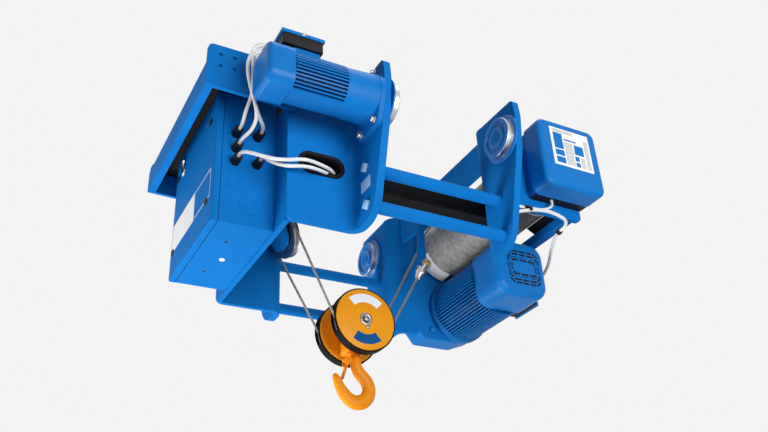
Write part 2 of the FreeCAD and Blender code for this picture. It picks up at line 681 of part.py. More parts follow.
def block():
    """The hook block: two covered sheaves on one pin, and a crosshead for the hook between them."""
    z = block_z
    covers = []
    guards = []
    for y in (front_y, rear_y):
        for s in (-1, 1):
            y0 = y + s * house_w / 2
            y1 = y0 - s * cover_t
            disc = turned_y([(y0, pin_r + run_fit), (y0, cover_r - 5), (y0 - s * 1.5, cover_r - 1.5), (y1, cover_r),
                             (y1, pin_r + run_fit)], 0, z)
            covers.append(disc)
        w = house_w / 2 - cover_t
        ring = turned_y([(y - w, sheave_r + 1), (y - w, cover_r + 4), (y + w, cover_r + 4), (y + w, sheave_r + 1)], 0, z)
        for side in (-1, 1):
            mouth = [(0, z), (side * 200, z - 94), (side * 300, z), (side * 200, z + 240)]
            ring = ring.cut(plate_y(mouth, [0] * 4, y - guard_slot, y + guard_slot))
        guards.append(ring)
    save("block_covers", covers)
    save("block_guards", guards)
    ends = V(0, sheave_gap + house_w + 4, 0)
    save("block_axle", rod(pin_r, V(0, front_y - house_w / 2 - 2, z), ends))
    y0 = block_y - crosshead_w / 2
    head = box(-36, 36, y0, y0 + crosshead_w, z - 86, z + 40)
    head = head.makeFillet(10, [e for e in head.Edges if abs(e.tangentAt(0).y) > 0.9])
    head = head.cut(rod(pin_r + run_fit, V(0, y0 - 1, z), V(0, crosshead_w + 2, 0)))
    head = head.cut(rod(shank_r + 0.3, V(0, block_y, z - 90), V(0, 0, 40)))
    head = head.cut(rod(32.0, V(0, block_y, z - 60), V(0, 0, 33)))
    save("block_crosshead", head)
    save("block_sheave_front", sheave(V(0, front_y, z), None, sheave_pitch_r))
    save("block_sheave_rear", sheave(V(0, rear_y, z), None, sheave_pitch_r))


def hook_section(at, across, wide, thick):
    pts = []
    for k in range(8):
        a = k * math.pi / 4
        pts.append(at + across * (wide / 2 * math.cos(a)) + V(0, thick / 2 * math.sin(a), 0))
    curve = Part.BSplineCurve()
    curve.interpolate(pts, PeriodicFlag=True)
    return Part.Wire(curve.toShape())


def hook():
    """A forged hook: its section swells round the bowl and thins to the tip."""
    z = block_z
    y = block_y
    k = shank_r / 16.0
    line = [(0, -107, 34, 34), (0, -126, 36, 35), (10, -148, 40, 36), (32, -172, 42, 36), (42, -201, 44, 36),
            (32, -229, 46, 36), (4, -245, 46, 36), (-28, -237, 42, 34), (-50, -213, 36, 30), (-63, -189, 29, 25),
            (-71, -170, 22, 19), (-75, -161, 11, 10)]
    spine = [V(px * k, y, z + pz * k) for px, pz, w, t in line]
    wires = []
    for i, (px, pz, w, t) in enumerate(line):
        a = spine[max(i - 1, 0)]
        b = spine[min(i + 1, len(spine) - 1)]
        tangent = unit(b - a)
        wires.append(hook_section(spine[i], V(tangent.z, 0, -tangent.x), w * k, t * k))
    body = Part.makeLoft(wires, True, False)
    body = body.fuse(rod(shank_r, V(0, y, z - 108 * k), V(0, 0, 108 * k - 30)))
    pivot = V(-34 * k, y, z - 112 * k)
    lug = rod(9 * k, pivot - V(0, 8 * k, 0), V(0, 16 * k, 0))
    lug = lug.fuse(box(pivot.x, 0, y - 8 * k, y + 8 * k, pivot.z - 9 * k, pivot.z + 9 * k))
    body = body.fuse(lug).cut(rod(3.6 * k, pivot - V(0, 30, 0), V(0, 60, 0)))
    save("hook", body.removeSplitter())
    save("hook_nut", turned_nut(z))
    pin = rod(3.5 * k, pivot - V(0, 14 * k, 0), V(0, 28 * k, 0))
    latch = pin
    for s in (-1, 1):
        ear = rod(8 * k, pivot + V(0, s * 8.5 * k, 0), V(0, s * 3.5 * k, 0))
        latch = latch.fuse(ear)
    tip = pivot + V(-17 * k, 0, -64 * k)
    run = unit(tip - pivot)
    side = V(-run.z, 0, run.x)
    reach = (tip - pivot).Length
    for s in (-1, 1):
        y0 = y + s * 8.5 * k
        corners = [pivot + side * (7 * k), pivot - side * (7 * k), pivot - side * (5 * k) + run * (20 * k),
                   pivot + side * (7 * k) + run * (20 * k)]
        cheek = slab([V(c.x, y0, c.z) for c in corners], [0, 0, 0, 0], V(0, s * 3.5 * k, 0))
        latch = latch.fuse(cheek)
    corners = [pivot + side * (7 * k) + run * (12 * k), pivot + side * (3.5 * k) + run * (12 * k),
               pivot + side * (-1.0 * k) + run * reach, pivot + side * (3.0 * k) + run * reach]
    tongue = slab([V(c.x, y - 12 * k, c.z) for c in corners], [0, 0, 0, 0], V(0, 24 * k, 0))
    latch = latch.fuse(tongue)
    save("hook_latch", latch.removeSplitter())


def turned_nut(z):
    nut = Part.makeCylinder(29, 24, V(0, block_y, z - 58), V(0, 0, 1))
    return nut.cut(rod(shank_r + run_fit, V(0, block_y, z - 70), V(0, 0, 60)))


def route(start, lead, tail, end):
    """A cable's points: those of its first stretch are set off from the start, those of its last from the end."""
    a = V(*start)
    b = V(*end)
    return [a] + [a + V(*p) for p in lead] + [b + V(*p) for p in tail] + [b]


def cables():
    y0 = -cab_long / 2 - gland_len
    glands = [(x, y0, z) for x, z in gland_xz]
    box_x = -travel_box_x - 117
    box_y = 430.0 - axle_y
    first = route(glands[0], [(0, -26, 0), (6, -58, 26)],
                  [(-16, 78, -78), (-19, 73, -44), (-25, 61, -16), (-38, 40, 0), (-38, 18, 4), (-22, 0, 0)],
                  (box_x, -392 + box_y, 150))
    second = route(glands[1], [(0, -26, 0), (14, -54, 29)],
                   [(0, 112, -142), (-11, 88, -116), (-27, 74, -86), (-42, 66, -56), (-64, 56, -26), (-66, 32, 0),
                    (-52, 6, 8), (-28, 0, 0)], (box_x, -420 + box_y, 162))
    third = route(glands[2], [(0, -26, 0), (-18, -58, 25)],
                  [(-6, 82, -90), (-32, 68, -54), (-46, 58, -22), (-48, 36, 2), (-42, 12, 4), (-24, 0, 0)],
                  (box_x, -406 + box_y, 158))
    bundle = [cord("upper cable", p, cable_r) for p in (first, second, third)]
    save("upper_cables", bundle)
    y1 = -frame_y - 5
    fourth = route(glands[3], [(0, -26, 0), (15, -56, -20)],
                   [(-190, -18, -26), (-146, -36, -32), (-104, -45, -28), (-58, -48, -20), (-18, -42, -9), (0, -24, 0)],
                   (slot_x + 24, y1, slot_z - 8))
    fifth = route(glands[4], [(0, -22, 0), (12, -50, -28)],
                  [(-118, -8, -18), (-78, -22, -27), (-44, -34, -22), (-18, -36, -12), (0, -26, 0)],
                  (slot_x + 6, y1, slot_z - 20.5))
    save("duct_cables", [cord("duct cable", p, cable_r) for p in (fourth, fifth)])
    z0 = limit_z[0] + 6
    lead = route((limit_x[0] + 73, -frame_y - 21, z0), [(0, 0, -22), (-18, -4, -43), (-49, -6, -49), (-85, -7, -53)],
                 [(33, -37, 2), (19, -37, 1), (7, -30, 0), (0, -18, 0)], (side_x + 38, -frame_y, z0 - 64))
    save("limit_cable", cord("limit cable", lead, cable_r - 1))
    y2 = hoist_box_y[0]
    tail_x = motor_x + motor_fin_r + 31
    power = route((side_x + 32, -frame_y, -118), [(0, -37, 0), (36, -55, 7), (88, -51, 18)],
                  [(-198, -y2 - 334, 46), (-148, -y2 - 328, 51), (-111, -y2 - 309, 48), (-90, -y2 - 276, 41),
                   (-77, -y2 - 232, 34), (-62, -y2 - 186, 26), (-40, -y2 - 138, 17), (-16, -y2 - 92, 4),
                   (-2, -y2 - 46, -6), (1, -y2, -6), (0, -34, 0)], (tail_x, y2, motor_z + 31.5))
    save("motor_cable", cord("motor cable", power, cable_r))


trolley_frame()
cable_way()
wheels()
travel_drive()
cabinet()
buffer_bracket()
drum()
rope_guide()
hoist_drive()
limit_switch()
falls()
block()
hook()
cables()
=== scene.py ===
import json
import math
import bmesh
import bpy
from mathutils import Matrix, Vector


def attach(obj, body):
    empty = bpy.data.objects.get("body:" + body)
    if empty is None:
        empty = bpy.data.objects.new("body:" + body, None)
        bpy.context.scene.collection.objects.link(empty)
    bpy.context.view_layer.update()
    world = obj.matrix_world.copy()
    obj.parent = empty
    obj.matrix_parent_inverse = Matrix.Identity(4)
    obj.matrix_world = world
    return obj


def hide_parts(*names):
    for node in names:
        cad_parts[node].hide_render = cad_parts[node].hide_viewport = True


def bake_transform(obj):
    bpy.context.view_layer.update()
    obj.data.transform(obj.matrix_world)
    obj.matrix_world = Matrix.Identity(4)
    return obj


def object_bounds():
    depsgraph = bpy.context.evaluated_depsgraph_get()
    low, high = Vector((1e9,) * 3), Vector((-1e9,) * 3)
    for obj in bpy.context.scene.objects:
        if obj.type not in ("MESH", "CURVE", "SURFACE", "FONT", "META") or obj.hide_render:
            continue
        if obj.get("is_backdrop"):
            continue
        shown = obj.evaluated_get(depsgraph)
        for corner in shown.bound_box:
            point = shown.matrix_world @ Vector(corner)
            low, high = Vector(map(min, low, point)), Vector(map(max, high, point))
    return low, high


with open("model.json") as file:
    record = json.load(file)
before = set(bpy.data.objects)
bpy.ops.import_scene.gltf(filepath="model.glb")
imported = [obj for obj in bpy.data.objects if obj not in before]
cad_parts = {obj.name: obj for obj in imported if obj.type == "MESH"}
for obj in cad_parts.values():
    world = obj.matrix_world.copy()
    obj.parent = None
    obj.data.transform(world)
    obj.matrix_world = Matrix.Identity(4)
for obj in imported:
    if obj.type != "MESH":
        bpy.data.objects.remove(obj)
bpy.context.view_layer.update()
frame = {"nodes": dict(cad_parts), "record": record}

# Trolley brackets and plates: thick steel plate, cut, bent round into a cheek and a cross plate, and welded.
# They carry the whole hoist and have one coat of satin blue paint, with soft rolled edges.
# A small pale plate is stuck to the left near cheek.


def feed(tree, socket, value):
    """Wires another node's output to a socket, or sets the socket's plain value."""
    if isinstance(value, bpy.types.NodeSocket):
        tree.links.new(value, socket)
    else:
        socket.default_value = value


def add(tree, kind, **values):
    """A shader node: names in small letters are its settings, and the others its inputs."""
    made = tree.nodes.new("ShaderNode" + kind)
    for name, value in values.items():
        if name.islower():
            setattr(made, name, value)
        else:
            feed(tree, made.inputs[name.replace("_", " ")], value)
    return made


def maths(tree, operation, *values, kind="Math"):
    """The result of a maths node, from numbers and other nodes' outputs in the order of its inputs."""
    made = add(tree, kind, operation=operation)
    for socket, value in zip(made.inputs, values):
        feed(tree, socket, value)
    return made.outputs[0]


def new_finish(name, **plain):
    """A material whose plain values sit on the shader's own sockets."""
    material = bpy.data.materials.new(name)
    material.use_nodes = True
    tree = material.node_tree
    shader = tree.nodes["Principled BSDF"]
    for socket, value in plain.items():
        shader.inputs[socket.replace("_", " ")].default_value = value
    return material, tree, shader


def skin_group():
    """Sprayed paint: slow drift in tone, a fine orange peel, and gloss that wanders a little."""
    group = bpy.data.node_groups.new("sprayed_skin", "ShaderNodeTree")
    for name, way, kind in (("Colour", "INPUT", "Color"), ("Drift", "INPUT", "Float"), ("Matt", "INPUT", "Float"),
                            ("Grain", "INPUT", "Float"), ("Colour", "OUTPUT", "Color"),
                            ("Roughness", "OUTPUT", "Float"), ("Height", "OUTPUT", "Float")):
        group.interface.new_socket(name, in_out=way, socket_type="NodeSocket" + kind)
    given = group.nodes.new("NodeGroupInput").outputs
    result = group.nodes.new("NodeGroupOutput").inputs
    place = add(group, "TexCoord").outputs["Object"]
    slow = add(group, "TexNoise", Vector=place, Scale=7.0, Detail=3.0, Roughness=0.55)
    spread = add(group, "MapRange", Value=slow.outputs["Fac"], From_Min=0.3, From_Max=0.7, To_Min=-1.0)
    tone = maths(group, "MULTIPLY_ADD", spread.outputs["Result"], given["Drift"], 1.0)
    shade = add(group, "VectorMath", operation="SCALE", Vector=given["Colour"], Scale=tone)
    feed(group, result["Colour"], shade.outputs[0])
    cloud = add(group, "TexNoise", Vector=place, Scale=38.0, Detail=4.0, Roughness=0.6)
    feed(group, result["Roughness"], maths(group, "MULTIPLY_ADD", cloud.outputs["Fac"], 0.16, given["Matt"]))
    fine = add(group, "TexNoise", Vector=place, Scale=given["Grain"], Detail=2.0, Roughness=0.5)
    feed(group, result["Height"], fine.outputs["Fac"])
    return group


sprayed_skin = skin_group()


def skin_on(tree, shader, colour, drift, matt, grain):
    """The shared skin in a material, with its own values. Its gloss goes to the shader."""
    skin = add(tree, "Group", node_tree=sprayed_skin, Colour=(*colour, 1.0), Drift=drift, Matt=matt, Grain=grain)
    feed(tree, shader.inputs["Roughness"], skin.outputs["Roughness"])
    return skin.outputs


def bumped(tree, shader, height, strength, depth):
    """Fine relief on the shader, from a height."""
    relief = add(tree, "Bump", Strength=strength, Distance=depth, Height=height)
    feed(tree, shader.inputs["Normal"], relief.outputs["Normal"])


def coated(name, colour, drift, matt, grain, depth, shine=0.5):
    """A painted or moulded finish on the shared skin."""
    material, tree, shader = new_finish(name, Specular_IOR_Level=shine)
    skin = skin_on(tree, shader, colour, drift, matt, grain)
    feed(tree, shader.inputs["Base Color"], skin["Colour"])
    bumped(tree, shader, skin["Height"], strength=0.35, depth=depth)
    return material


def set_on(bm, name, finish, body, stands_for=(), sharp=36.0, edge=0.0, steps=2):
    """Makes a piece of the mesh, sets it on its body, and eases its hard edges."""
    limit = math.radians(sharp)
    for face in bm.faces:
        face.smooth = True
    for side in bm.edges:
        side.smooth = side.calc_face_angle(0.0) < limit
    mesh = bpy.data.meshes.new(name)
    bm.to_mesh(mesh)
    bm.free()
    if "custom_normal" in mesh.attributes:
        mesh.attributes.remove(mesh.attributes["custom_normal"])
    mesh.materials.clear()
    mesh.materials.append(finish)
    mesh.polygons.foreach_set("material_index", [0] * len(mesh.polygons))
    piece = bpy.data.objects.new(name, mesh)
    bpy.context.scene.collection.objects.link(piece)
    if edge:
        ease = piece.modifiers.new("eased_edges", "BEVEL")
        ease.width = edge
        ease.segments = steps
        ease.limit_method = "ANGLE"
        ease.angle_limit = limit
        ease.harden_normals = True
        ease.use_clamp_overlap = True
    if body:
        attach(piece, body)
    if stands_for:
        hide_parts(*stands_for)
    return piece


def merged(node):
    """The node's solid as one welded mesh, its flat faces whole again."""
    same_point = 0.000004
    same_plane = 0.006
    bm = bmesh.new()
    bm.from_mesh(frame["nodes"][node].data)
    bmesh.ops.remove_doubles(bm, verts=bm.verts, dist=same_point)
    bmesh.ops.dissolve_limit(bm, angle_limit=same_plane, verts=bm.verts, edges=bm.edges)
    return bm


body_of_node = {node: body for body, held in frame["record"]["behaviour"]["bodies"].items() for node in held}


def dressed(node, finish, edge, sharp=36.0, steps=2):
    """A rigid piece with the node's own shape, its edges eased."""
    set_on(merged(node), node + "_dressed", finish, body_of_node[node], (node,), sharp, edge, steps)


def skinned(bm, rings):
    """Faces from each ring of points to the next. A ring of one point is a tip."""
    for low, high in zip(rings, rings[1:]):
        sides = max(len(low), len(high))
        for k in range(sides):
            j = (k + 1) % sides
            if len(low) == 1:
                bm.faces.new((low[0], high[j], high[k]))
            elif len(high) == 1:
                bm.faces.new((low[k], low[j], high[0]))
            else:
                bm.faces.new((low[k], low[j], high[j], high[k]))


def plain_panel(bm, first, last, out, thick):
    """A thin oblong plate on a flat face: two opposite corners, the way out of the face, and its thickness."""
    i, j = (k for k in range(3) if not out[k])
    corners = [Vector(first) for _ in range(4)]
    corners[1][i] = corners[2][i] = last[i]
    corners[2][j] = corners[3][j] = last[j]
    low = [bm.verts.new(corner) for corner in corners]
    high = [bm.verts.new(corner + Vector(out) * thick) for corner in corners]
    bm.faces.new(high)
    skinned(bm, (low, high))
    bmesh.ops.recalc_face_normals(bm, faces=bm.faces)


hoist_blue = (0.004, 0.148, 0.47)
plate_paint = coated("plate_paint", hoist_blue, drift=0.07, matt=0.46, grain=620.0, depth=0.0003, shine=0.03)
for node in ("left_near_bracket", "left_far_bracket", "right_near_bracket", "right_far_bracket"):
    dressed(node, plate_paint, edge=0.0022, steps=3)
for node in ("left_back_plate", "right_side_plate"):
    dressed(node, plate_paint, edge=0.0015)
# Pale label colour for the cheek tag. The bar nuts also wear it, as a painted highlight.
pale_label_and_highlight = coated("pale_label_and_highlight", (0.3, 0.5, 0.74), drift=0.03, matt=0.4, grain=700.0, depth=0.0001, shine=0.1)
cheek_face = 0.231
tag = bmesh.new()
plain_panel(tag, (-cheek_face, -0.39, -0.152), (-cheek_face, -0.336, -0.187), (-1, 0, 0), thick=0.0006)
set_on(tag, "cheek_tag", pale_label_and_highlight, "trolley_frame")

# Cross bars: four round steel bars that tie the two sides together under the beam, turned down at their ends.
# Each goes through both cheeks, and a flat square nut holds it outside. The nuts' pale colour is a painted
# highlight.


def turned(bm, at, axis, profile, sides, phase=0.0):
    """A turned form about an axis: profile holds (distance along it, radius)."""
    way = Vector(axis).normalized()
    turn = way.to_track_quat("Z", "Y").to_matrix()
    rings = []
    for along, radius in profile:
        if radius <= 0:
            rings.append([bm.verts.new(Vector(at) + way * along)])
            continue
        ring = []
        for k in range(sides):
            a = 2 * math.pi * k / sides + phase
            spot = Vector((radius * math.cos(a), radius * math.sin(a), along))
            ring.append(bm.verts.new(Vector(at) + turn @ spot))
        rings.append(ring)
    skinned(bm, rings)


dressed("cross_bars", plate_paint, edge=0.0025, steps=3)
square_nut = [(0, 0), (0, 0.0175), (0.007, 0.0175), (0.008, 0.0165), (0.008, 0)]
nuts = bmesh.new()
for y, z in ((-0.366, -0.118), (-0.366, -0.236), (0.384, -0.058), (0.384, -0.218)):
    for side in (-1, 1):
        turned(nuts, (side * cheek_face, y, z), (side, 0, 0), square_nut, sides=4, phase=0.2)
# The nuts' pale colour is a painted highlight.
set_on(nuts, "bar_nuts", pale_label_and_highlight, "trolley_frame", sharp=25.0)

# Wheels: cast and turned, with a flange on the outside. Their faces are painted with the frame, and the tread
# that runs on the beam is bare bright steel with fine turning marks. They turn on painted stub axles.

wheel_y = 0.43
wheel_z = 0.0625
tread_low, tread_high = 0.0618, 0.0636
flange_x = 0.2006


def mixed(tree, share, a, b):
    """One colour that goes over into another by a share."""
    return add(tree, "Mix", data_type="RGBA", Factor=share, A=a, B=b).outputs["Result"]


def tread_finish():
    """The frame's paint, and bare steel where the distance from the wheel's centre is the tread's."""
    material, tree, shader = new_finish("wheel_paint_and_tread", Specular_IOR_Level=0.2)
    place = add(tree, "TexCoord").outputs["Object"]
    split = add(tree, "SeparateXYZ", Vector=place).outputs
    y = maths(tree, "SUBTRACT", maths(tree, "ABSOLUTE", split["Y"]), wheel_y)
    z = maths(tree, "SUBTRACT", split["Z"], wheel_z)
    r = maths(tree, "SQRT", maths(tree, "ADD", maths(tree, "MULTIPLY", y, y), maths(tree, "MULTIPLY", z, z)))
    above = maths(tree, "GREATER_THAN", r, tread_low)
    rim = maths(tree, "MULTIPLY", above, maths(tree, "LESS_THAN", r, tread_high))
    inside = maths(tree, "LESS_THAN", maths(tree, "ABSOLUTE", split["X"]), flange_x)
    bare = maths(tree, "MULTIPLY", rim, inside)
    drawn_out = maths(tree, "MULTIPLY", place, (9.0, 0.35, 0.35), kind="VectorMath")
    marks = add(tree, "TexNoise", Vector=drawn_out, Scale=160.0, Detail=4.0).outputs["Fac"]
    steel = mixed(tree, marks, (0.42, 0.41, 0.39, 1), (0.74, 0.73, 0.71, 1))
    skin = skin_on(tree, shader, hoist_blue, drift=0.08, matt=0.24, grain=600.0)
    feed(tree, shader.inputs["Base Color"], mixed(tree, bare, skin["Colour"], steel))
    feed(tree, shader.inputs["Metallic"], bare)
    bumped(tree, shader, marks, strength=0.3, depth=0.0003)
    return material


tread = tread_finish()
for node in ("wheel_left_near", "wheel_left_far", "wheel_right_near", "wheel_right_far"):
    dressed(node, tread, edge=0.0009, sharp=24.0)
dressed("wheel_axles", plate_paint, edge=0.0012)

# Cable duct and grommet: a folded black channel carries the cables across under the beam, behind the cross
# plates. A moulded rubber lip lines the oval hole where the cabinet's cables go in.

duct_black = coated("duct_black", (0.0035, 0.004, 0.005), drift=0.2, matt=0.42, grain=420.0, depth=0.0003,
                    shine=0.06)
# Black rubber for the grommet's lip. The same black is also painted shade under the buffer roof and by the drum.
rubber_and_shade_black = coated("rubber_and_shade_black", (0.005, 0.005, 0.0055), drift=0.15, matt=0.5, grain=900.0, depth=0.0002,
                      shine=0.12)
dressed("cable_duct", duct_black, edge=0.0012)


def oval(half_long, half_high, count=40):
    """Points of an oval with straight sides and round ends, in its own plane."""
    run = half_long - half_high
    points = []
    for k in range(count):
        a = 2 * math.pi * (k + 0.5) / count
        points.append((half_high * math.cos(a) + math.copysign(run, math.cos(a)), half_high * math.sin(a)))
    return points


millimetre = 0.001
hole_x, hole_z = -0.328, -0.0895
hole_half_long, hole_half_high = 0.064, 0.030
lip_section = ((-9, -276), (-8, -284), (-6, -295), (-3, -297.5), (1, -298), (4, -296.5), (6, -294), (6, -291.2),
               (0, -291.2), (0, -276))
lip = bmesh.new()
rings = []
for grow, y in lip_section:
    ring = oval(hole_half_long + grow * millimetre, hole_half_high + grow * millimetre)
    rings.append([lip.verts.new((hole_x + x, y * millimetre, hole_z + z)) for x, z in ring])
skinned(lip, rings[::-1])
set_on(lip, "grommet_lip", rubber_and_shade_black, "trolley_frame", ("cable_grommet",), sharp=70.0)

# Travel drive: a geared motor on the near left cheek, in line with its wheel. The gear case is cast, the motor
# body has long cooling fins, a pressed cover shields the fan, and a black box with a blue lid takes the cables.
# Zinc-plated bolts hold them.

cast_paint = coated("cast_paint", hoist_blue, drift=0.09, matt=0.34, grain=260.0, depth=0.0004, shine=0.09)
moulded_blue = coated("moulded_blue", hoist_blue, drift=0.05, matt=0.26, grain=900.0, depth=0.0001, shine=0.14)
# Black moulding for boxes, glands, screws, clips and the switch's sole. In the fan slots the same black is painted
# shade.
black_moulding_and_shade = coated("black_moulding_and_shade", (0.006, 0.006, 0.0065), drift=0.15, matt=0.42, grain=800.0, depth=0.0002,
                        shine=0.2)
dressed("travel_gearbox", cast_paint, edge=0.003, steps=3)


def fin_shaded_paint(name, across, centre, core, tips, groove_shade, crest):
    """Cast paint with painted shade between the fins: darker from the fin tips down to their roots."""
    material, tree, shader = new_finish(name, Specular_IOR_Level=0.14)
    place = add(tree, "TexCoord").outputs["Object"]
    shift = maths(tree, "SUBTRACT", place, centre, kind="VectorMath")
    flat = maths(tree, "MULTIPLY", shift, across, kind="VectorMath")
    reach = add(tree, "VectorMath", operation="LENGTH", Vector=flat).outputs["Value"]
    height = add(tree, "MapRange", Value=reach, From_Min=core, From_Max=tips).outputs["Result"]
    skin = skin_on(tree, shader, crest, drift=0.09, matt=0.34, grain=260.0)
    feed(tree, shader.inputs["Base Color"], mixed(tree, height, (*groove_shade, 1), skin["Colour"]))
    return material


# The dark roots between the fins are painted shade.
travel_fins = fin_shaded_paint("travel_fins", across=(0, 1, 1), centre=(0, -wheel_y, wheel_z), core=0.0605,
                           tips=0.0705, groove_shade=(0.0004, 0.012, 0.045), crest=(0.004, 0.135, 0.43))
dressed("travel_motor", travel_fins, edge=0.0)
dressed("travel_fan_cover", moulded_blue, edge=0.0, sharp=50.0)
dressed("travel_terminal_box", black_moulding_and_shade, edge=0.0015)
dressed("travel_terminal_lid", cast_paint, edge=0.0012)


def glossed(tree, shader, marks, low, high):
    """Gloss that follows the marks, between two values."""
    gloss = add(tree, "MapRange", Value=marks, To_Min=low, To_Max=high)
    feed(tree, shader.inputs["Roughness"], gloss.outputs["Result"])


def bare_steel(name, dark, bright, scale, stretch, rough, depth):
    """Bare metal with marks drawn out along one direction."""
    material, tree, shader = new_finish(name, Metallic=1.0)
    place = add(tree, "TexCoord").outputs["Object"]
    pulled = add(tree, "Mapping", Vector=place, Scale=stretch).outputs["Vector"]
    marks = add(tree, "TexNoise", Vector=pulled, Scale=scale, Detail=5.0, Roughness=0.6).outputs["Fac"]
    tone = add(tree, "ValToRGB", Fac=marks)
    for stop, position, colour in zip(tone.color_ramp.elements, (0.32, 0.68), (dark, bright)):
        stop.position = position
        stop.color = (*colour, 1)
    feed(tree, shader.inputs["Base Color"], tone.outputs["Color"])
    glossed(tree, shader, marks, rough - 0.08, rough + 0.12)
    bumped(tree, shader, marks, strength=0.3, depth=depth)
    return material


def hex_bolt(bm, at, axis, across, high, washer=True):
    """A chamfered hexagon head, on its washer where it has one."""
    root_three = 1.732
    r = across / root_three
    base = 0.0
    if washer:
        base = high * 0.22
        ring = [(0, 0), (0, r * 1.22), (base * 0.8, r * 1.22), (base, r * 1.15), (base, 0)]
        turned(bm, at, axis, ring, sides=28)
    top = base + high
    head = [(base, 0), (base, r), (base + high * 0.82, r), (top, r * 0.84), (top, 0)]
    turned(bm, at, axis, head, sides=6, phase=0.3)


zinc_plate = bare_steel("zinc_plate", (0.42, 0.42, 0.4), (0.68, 0.68, 0.66), scale=240.0, stretch=(1, 1, 1),
                        rough=0.34, depth=0.0002)
bolts = bmesh.new()
for y, z in ((-0.454, -0.0185), (-0.374, -0.0215)):
    hex_bolt(bolts, (-0.246, y, z), (-1, 0, 0), across=0.016, high=0.009)
hex_bolt(bolts, (-cheek_face, -0.442, 0.158), (-1, 0, 0), across=0.015, high=0.009)
hex_bolt(bolts, (-0.464, -0.483, 0.1763), (0, -1, 0), across=0.008, high=0.004)
set_on(bolts, "travel_bolts", zinc_plate, "trolley_frame", sharp=25.0)

# Control cabinet: a folded sheet-steel box on the left back plate, with a pressed cover on a dark seal, held by
# four dark screws, and a zinc lock ring. Knock-outs are pressed in its near wall, its floor has a white plug and
# two drains, and the cover carries plain panels.

cabinet_z = -0.066
cabinet_floor = -0.276
near_wall = -0.2
cover_face = -0.604
cover_sunk = cover_face + 0.0002
sheet_paint = coated("sheet_paint", hoist_blue, drift=0.06, matt=0.46, grain=520.0, depth=0.0003, shine=0.03)
dressed("cabinet_body", sheet_paint, edge=0.0015)
dressed("cabinet_cover", sheet_paint, edge=0.002, steps=3)
dressed("cable_glands", black_moulding_and_shade, edge=0.0008, sharp=28.0)
pressings = bmesh.new()
for x, z, r in ((-0.546, -0.15, 0.0205), (-0.481, -0.144, 0.0185), (-0.502, -0.213, 0.031)):
    pressed = [(-0.0004, r), (0.0022, r - 0.0016), (0.0022, r - 0.0028), (0.0003, r - 0.0048), (0.0003, r * 0.66),
               (0.0018, r * 0.6), (0.0018, r * 0.54), (0.0004, r * 0.46), (0.0004, 0)]
    turned(pressings, (x, near_wall, z), (0, -1, 0), pressed, sides=40)
set_on(pressings, "knock_outs", sheet_paint, "trolley_frame")
screw_head = [(0, 0.0125), (0.0016, 0.012), (0.003, 0.0102), (0.0034, 0.007), (0.002, 0.006), (0.002, 0)]
screws = bmesh.new()
for y, z in ((-0.146, 0.07), (0.174, 0.064), (-0.146, -0.195), (0.174, -0.195)):
    turned(screws, (cover_sunk, y, z), (-1, 0, 0), screw_head, sides=28)
set_on(screws, "cover_screws", black_moulding_and_shade, "trolley_frame")


def oblong(bm, x, half_y, half_z):
    """The corners of a rectangle about the cabinet's middle line."""
    return [bm.verts.new((x, y * half_y, cabinet_z + z * half_z)) for y, z in ((-1, -1), (1, -1), (1, 1), (-1, 1))]


seal_blue = coated("seal_blue", (0.001, 0.03, 0.1), drift=0.1, matt=0.5, grain=900.0, depth=0.0001, shine=0.05)
seal = bmesh.new()
skinned(seal, [oblong(seal, x, half_y=0.2007, half_z=0.2107) for x in (-0.5851, -0.5836)])
bmesh.ops.recalc_face_normals(seal, faces=seal.faces)
set_on(seal, "cover_seal", seal_blue, "trolley_frame")
flange = bmesh.new()
rings = []
for x, inset in ((-0.4402, 0.0), (-0.4302, 0.0), (-0.4302, 0.003), (-0.4402, 0.003)):
    rings.append(oblong(flange, x, 0.1995 - inset, 0.2095 - inset))
skinned(flange, rings + rings[:1])
bmesh.ops.recalc_face_normals(flange, faces=flange.faces)
set_on(flange, "cabinet_back_flange", sheet_paint, "trolley_frame")
lock_y, lock_z = 0.124, 0.08
lock = bmesh.new()
rings = []
for out, inset in ((0.0, 0.0), (0.003, 0.0), (0.0045, 0.0012), (0.0045, 0.0058), (0.0001, 0.007)):
    ring = oval(0.031 - inset, 0.018 - inset, 32)
    rings.append([lock.verts.new((cover_sunk - out, lock_y + u, lock_z + v)) for v, u in ring])
skinned(lock, rings)
bmesh.ops.recalc_face_normals(lock, faces=lock.faces)
set_on(lock, "cover_lock", zinc_plate, "trolley_frame")
white_plate = coated("white_plate", (0.8, 0.81, 0.82), drift=0.03, matt=0.3, grain=700.0, depth=0.0001)
panel = bmesh.new()
plain_panel(panel, (cover_face, -0.03, -0.098), (cover_face, 0.19, -0.192), (-1, 0, 0), thick=0.0006)
for y0, z0, y1, z1 in ((-0.174, -0.101, -0.036, -0.1028), (-0.174, -0.1872, -0.036, -0.189),
                       (-0.174, -0.1028, -0.1722, -0.1872)):
    plain_panel(panel, (cover_face, y0, z0), (cover_face, y1, z1), (-1, 0, 0), thick=0.0004)
set_on(panel, "cover_panels", white_plate, "trolley_frame")
plug_head = [(0, 0.0085), (0.0015, 0.008), (0.002, 0.0065), (0.002, 0)]
plug = bmesh.new()
turned(plug, (-0.504, 0.007, cabinet_floor), (0, 0, -1), plug_head, sides=36)
set_on(plug, "floor_plug", white_plate, "trolley_frame")
drain_head = [(-0.0004, 0.0042), (0.0008, 0.004), (0.001, 0.0034), (0.001, 0)]
drains = bmesh.new()
for y in (-0.097, 0.097):
    turned(drains, (-0.528, y, cabinet_floor), (0, 0, -1), drain_head, sides=20)
set_on(drains, "floor_drains", black_moulding_and_shade, "trolley_frame")

# Buffer bracket: a lipped bar bent round the cabinet and roofed over it, with a plate at each end for a rubber
# buffer. It is welded to the left cross plates and painted with the frame. A black sheet under the roof is painted
# shade.

roof_under = 0.148
dressed("buffer_bracket", plate_paint, edge=0.0022, steps=3)
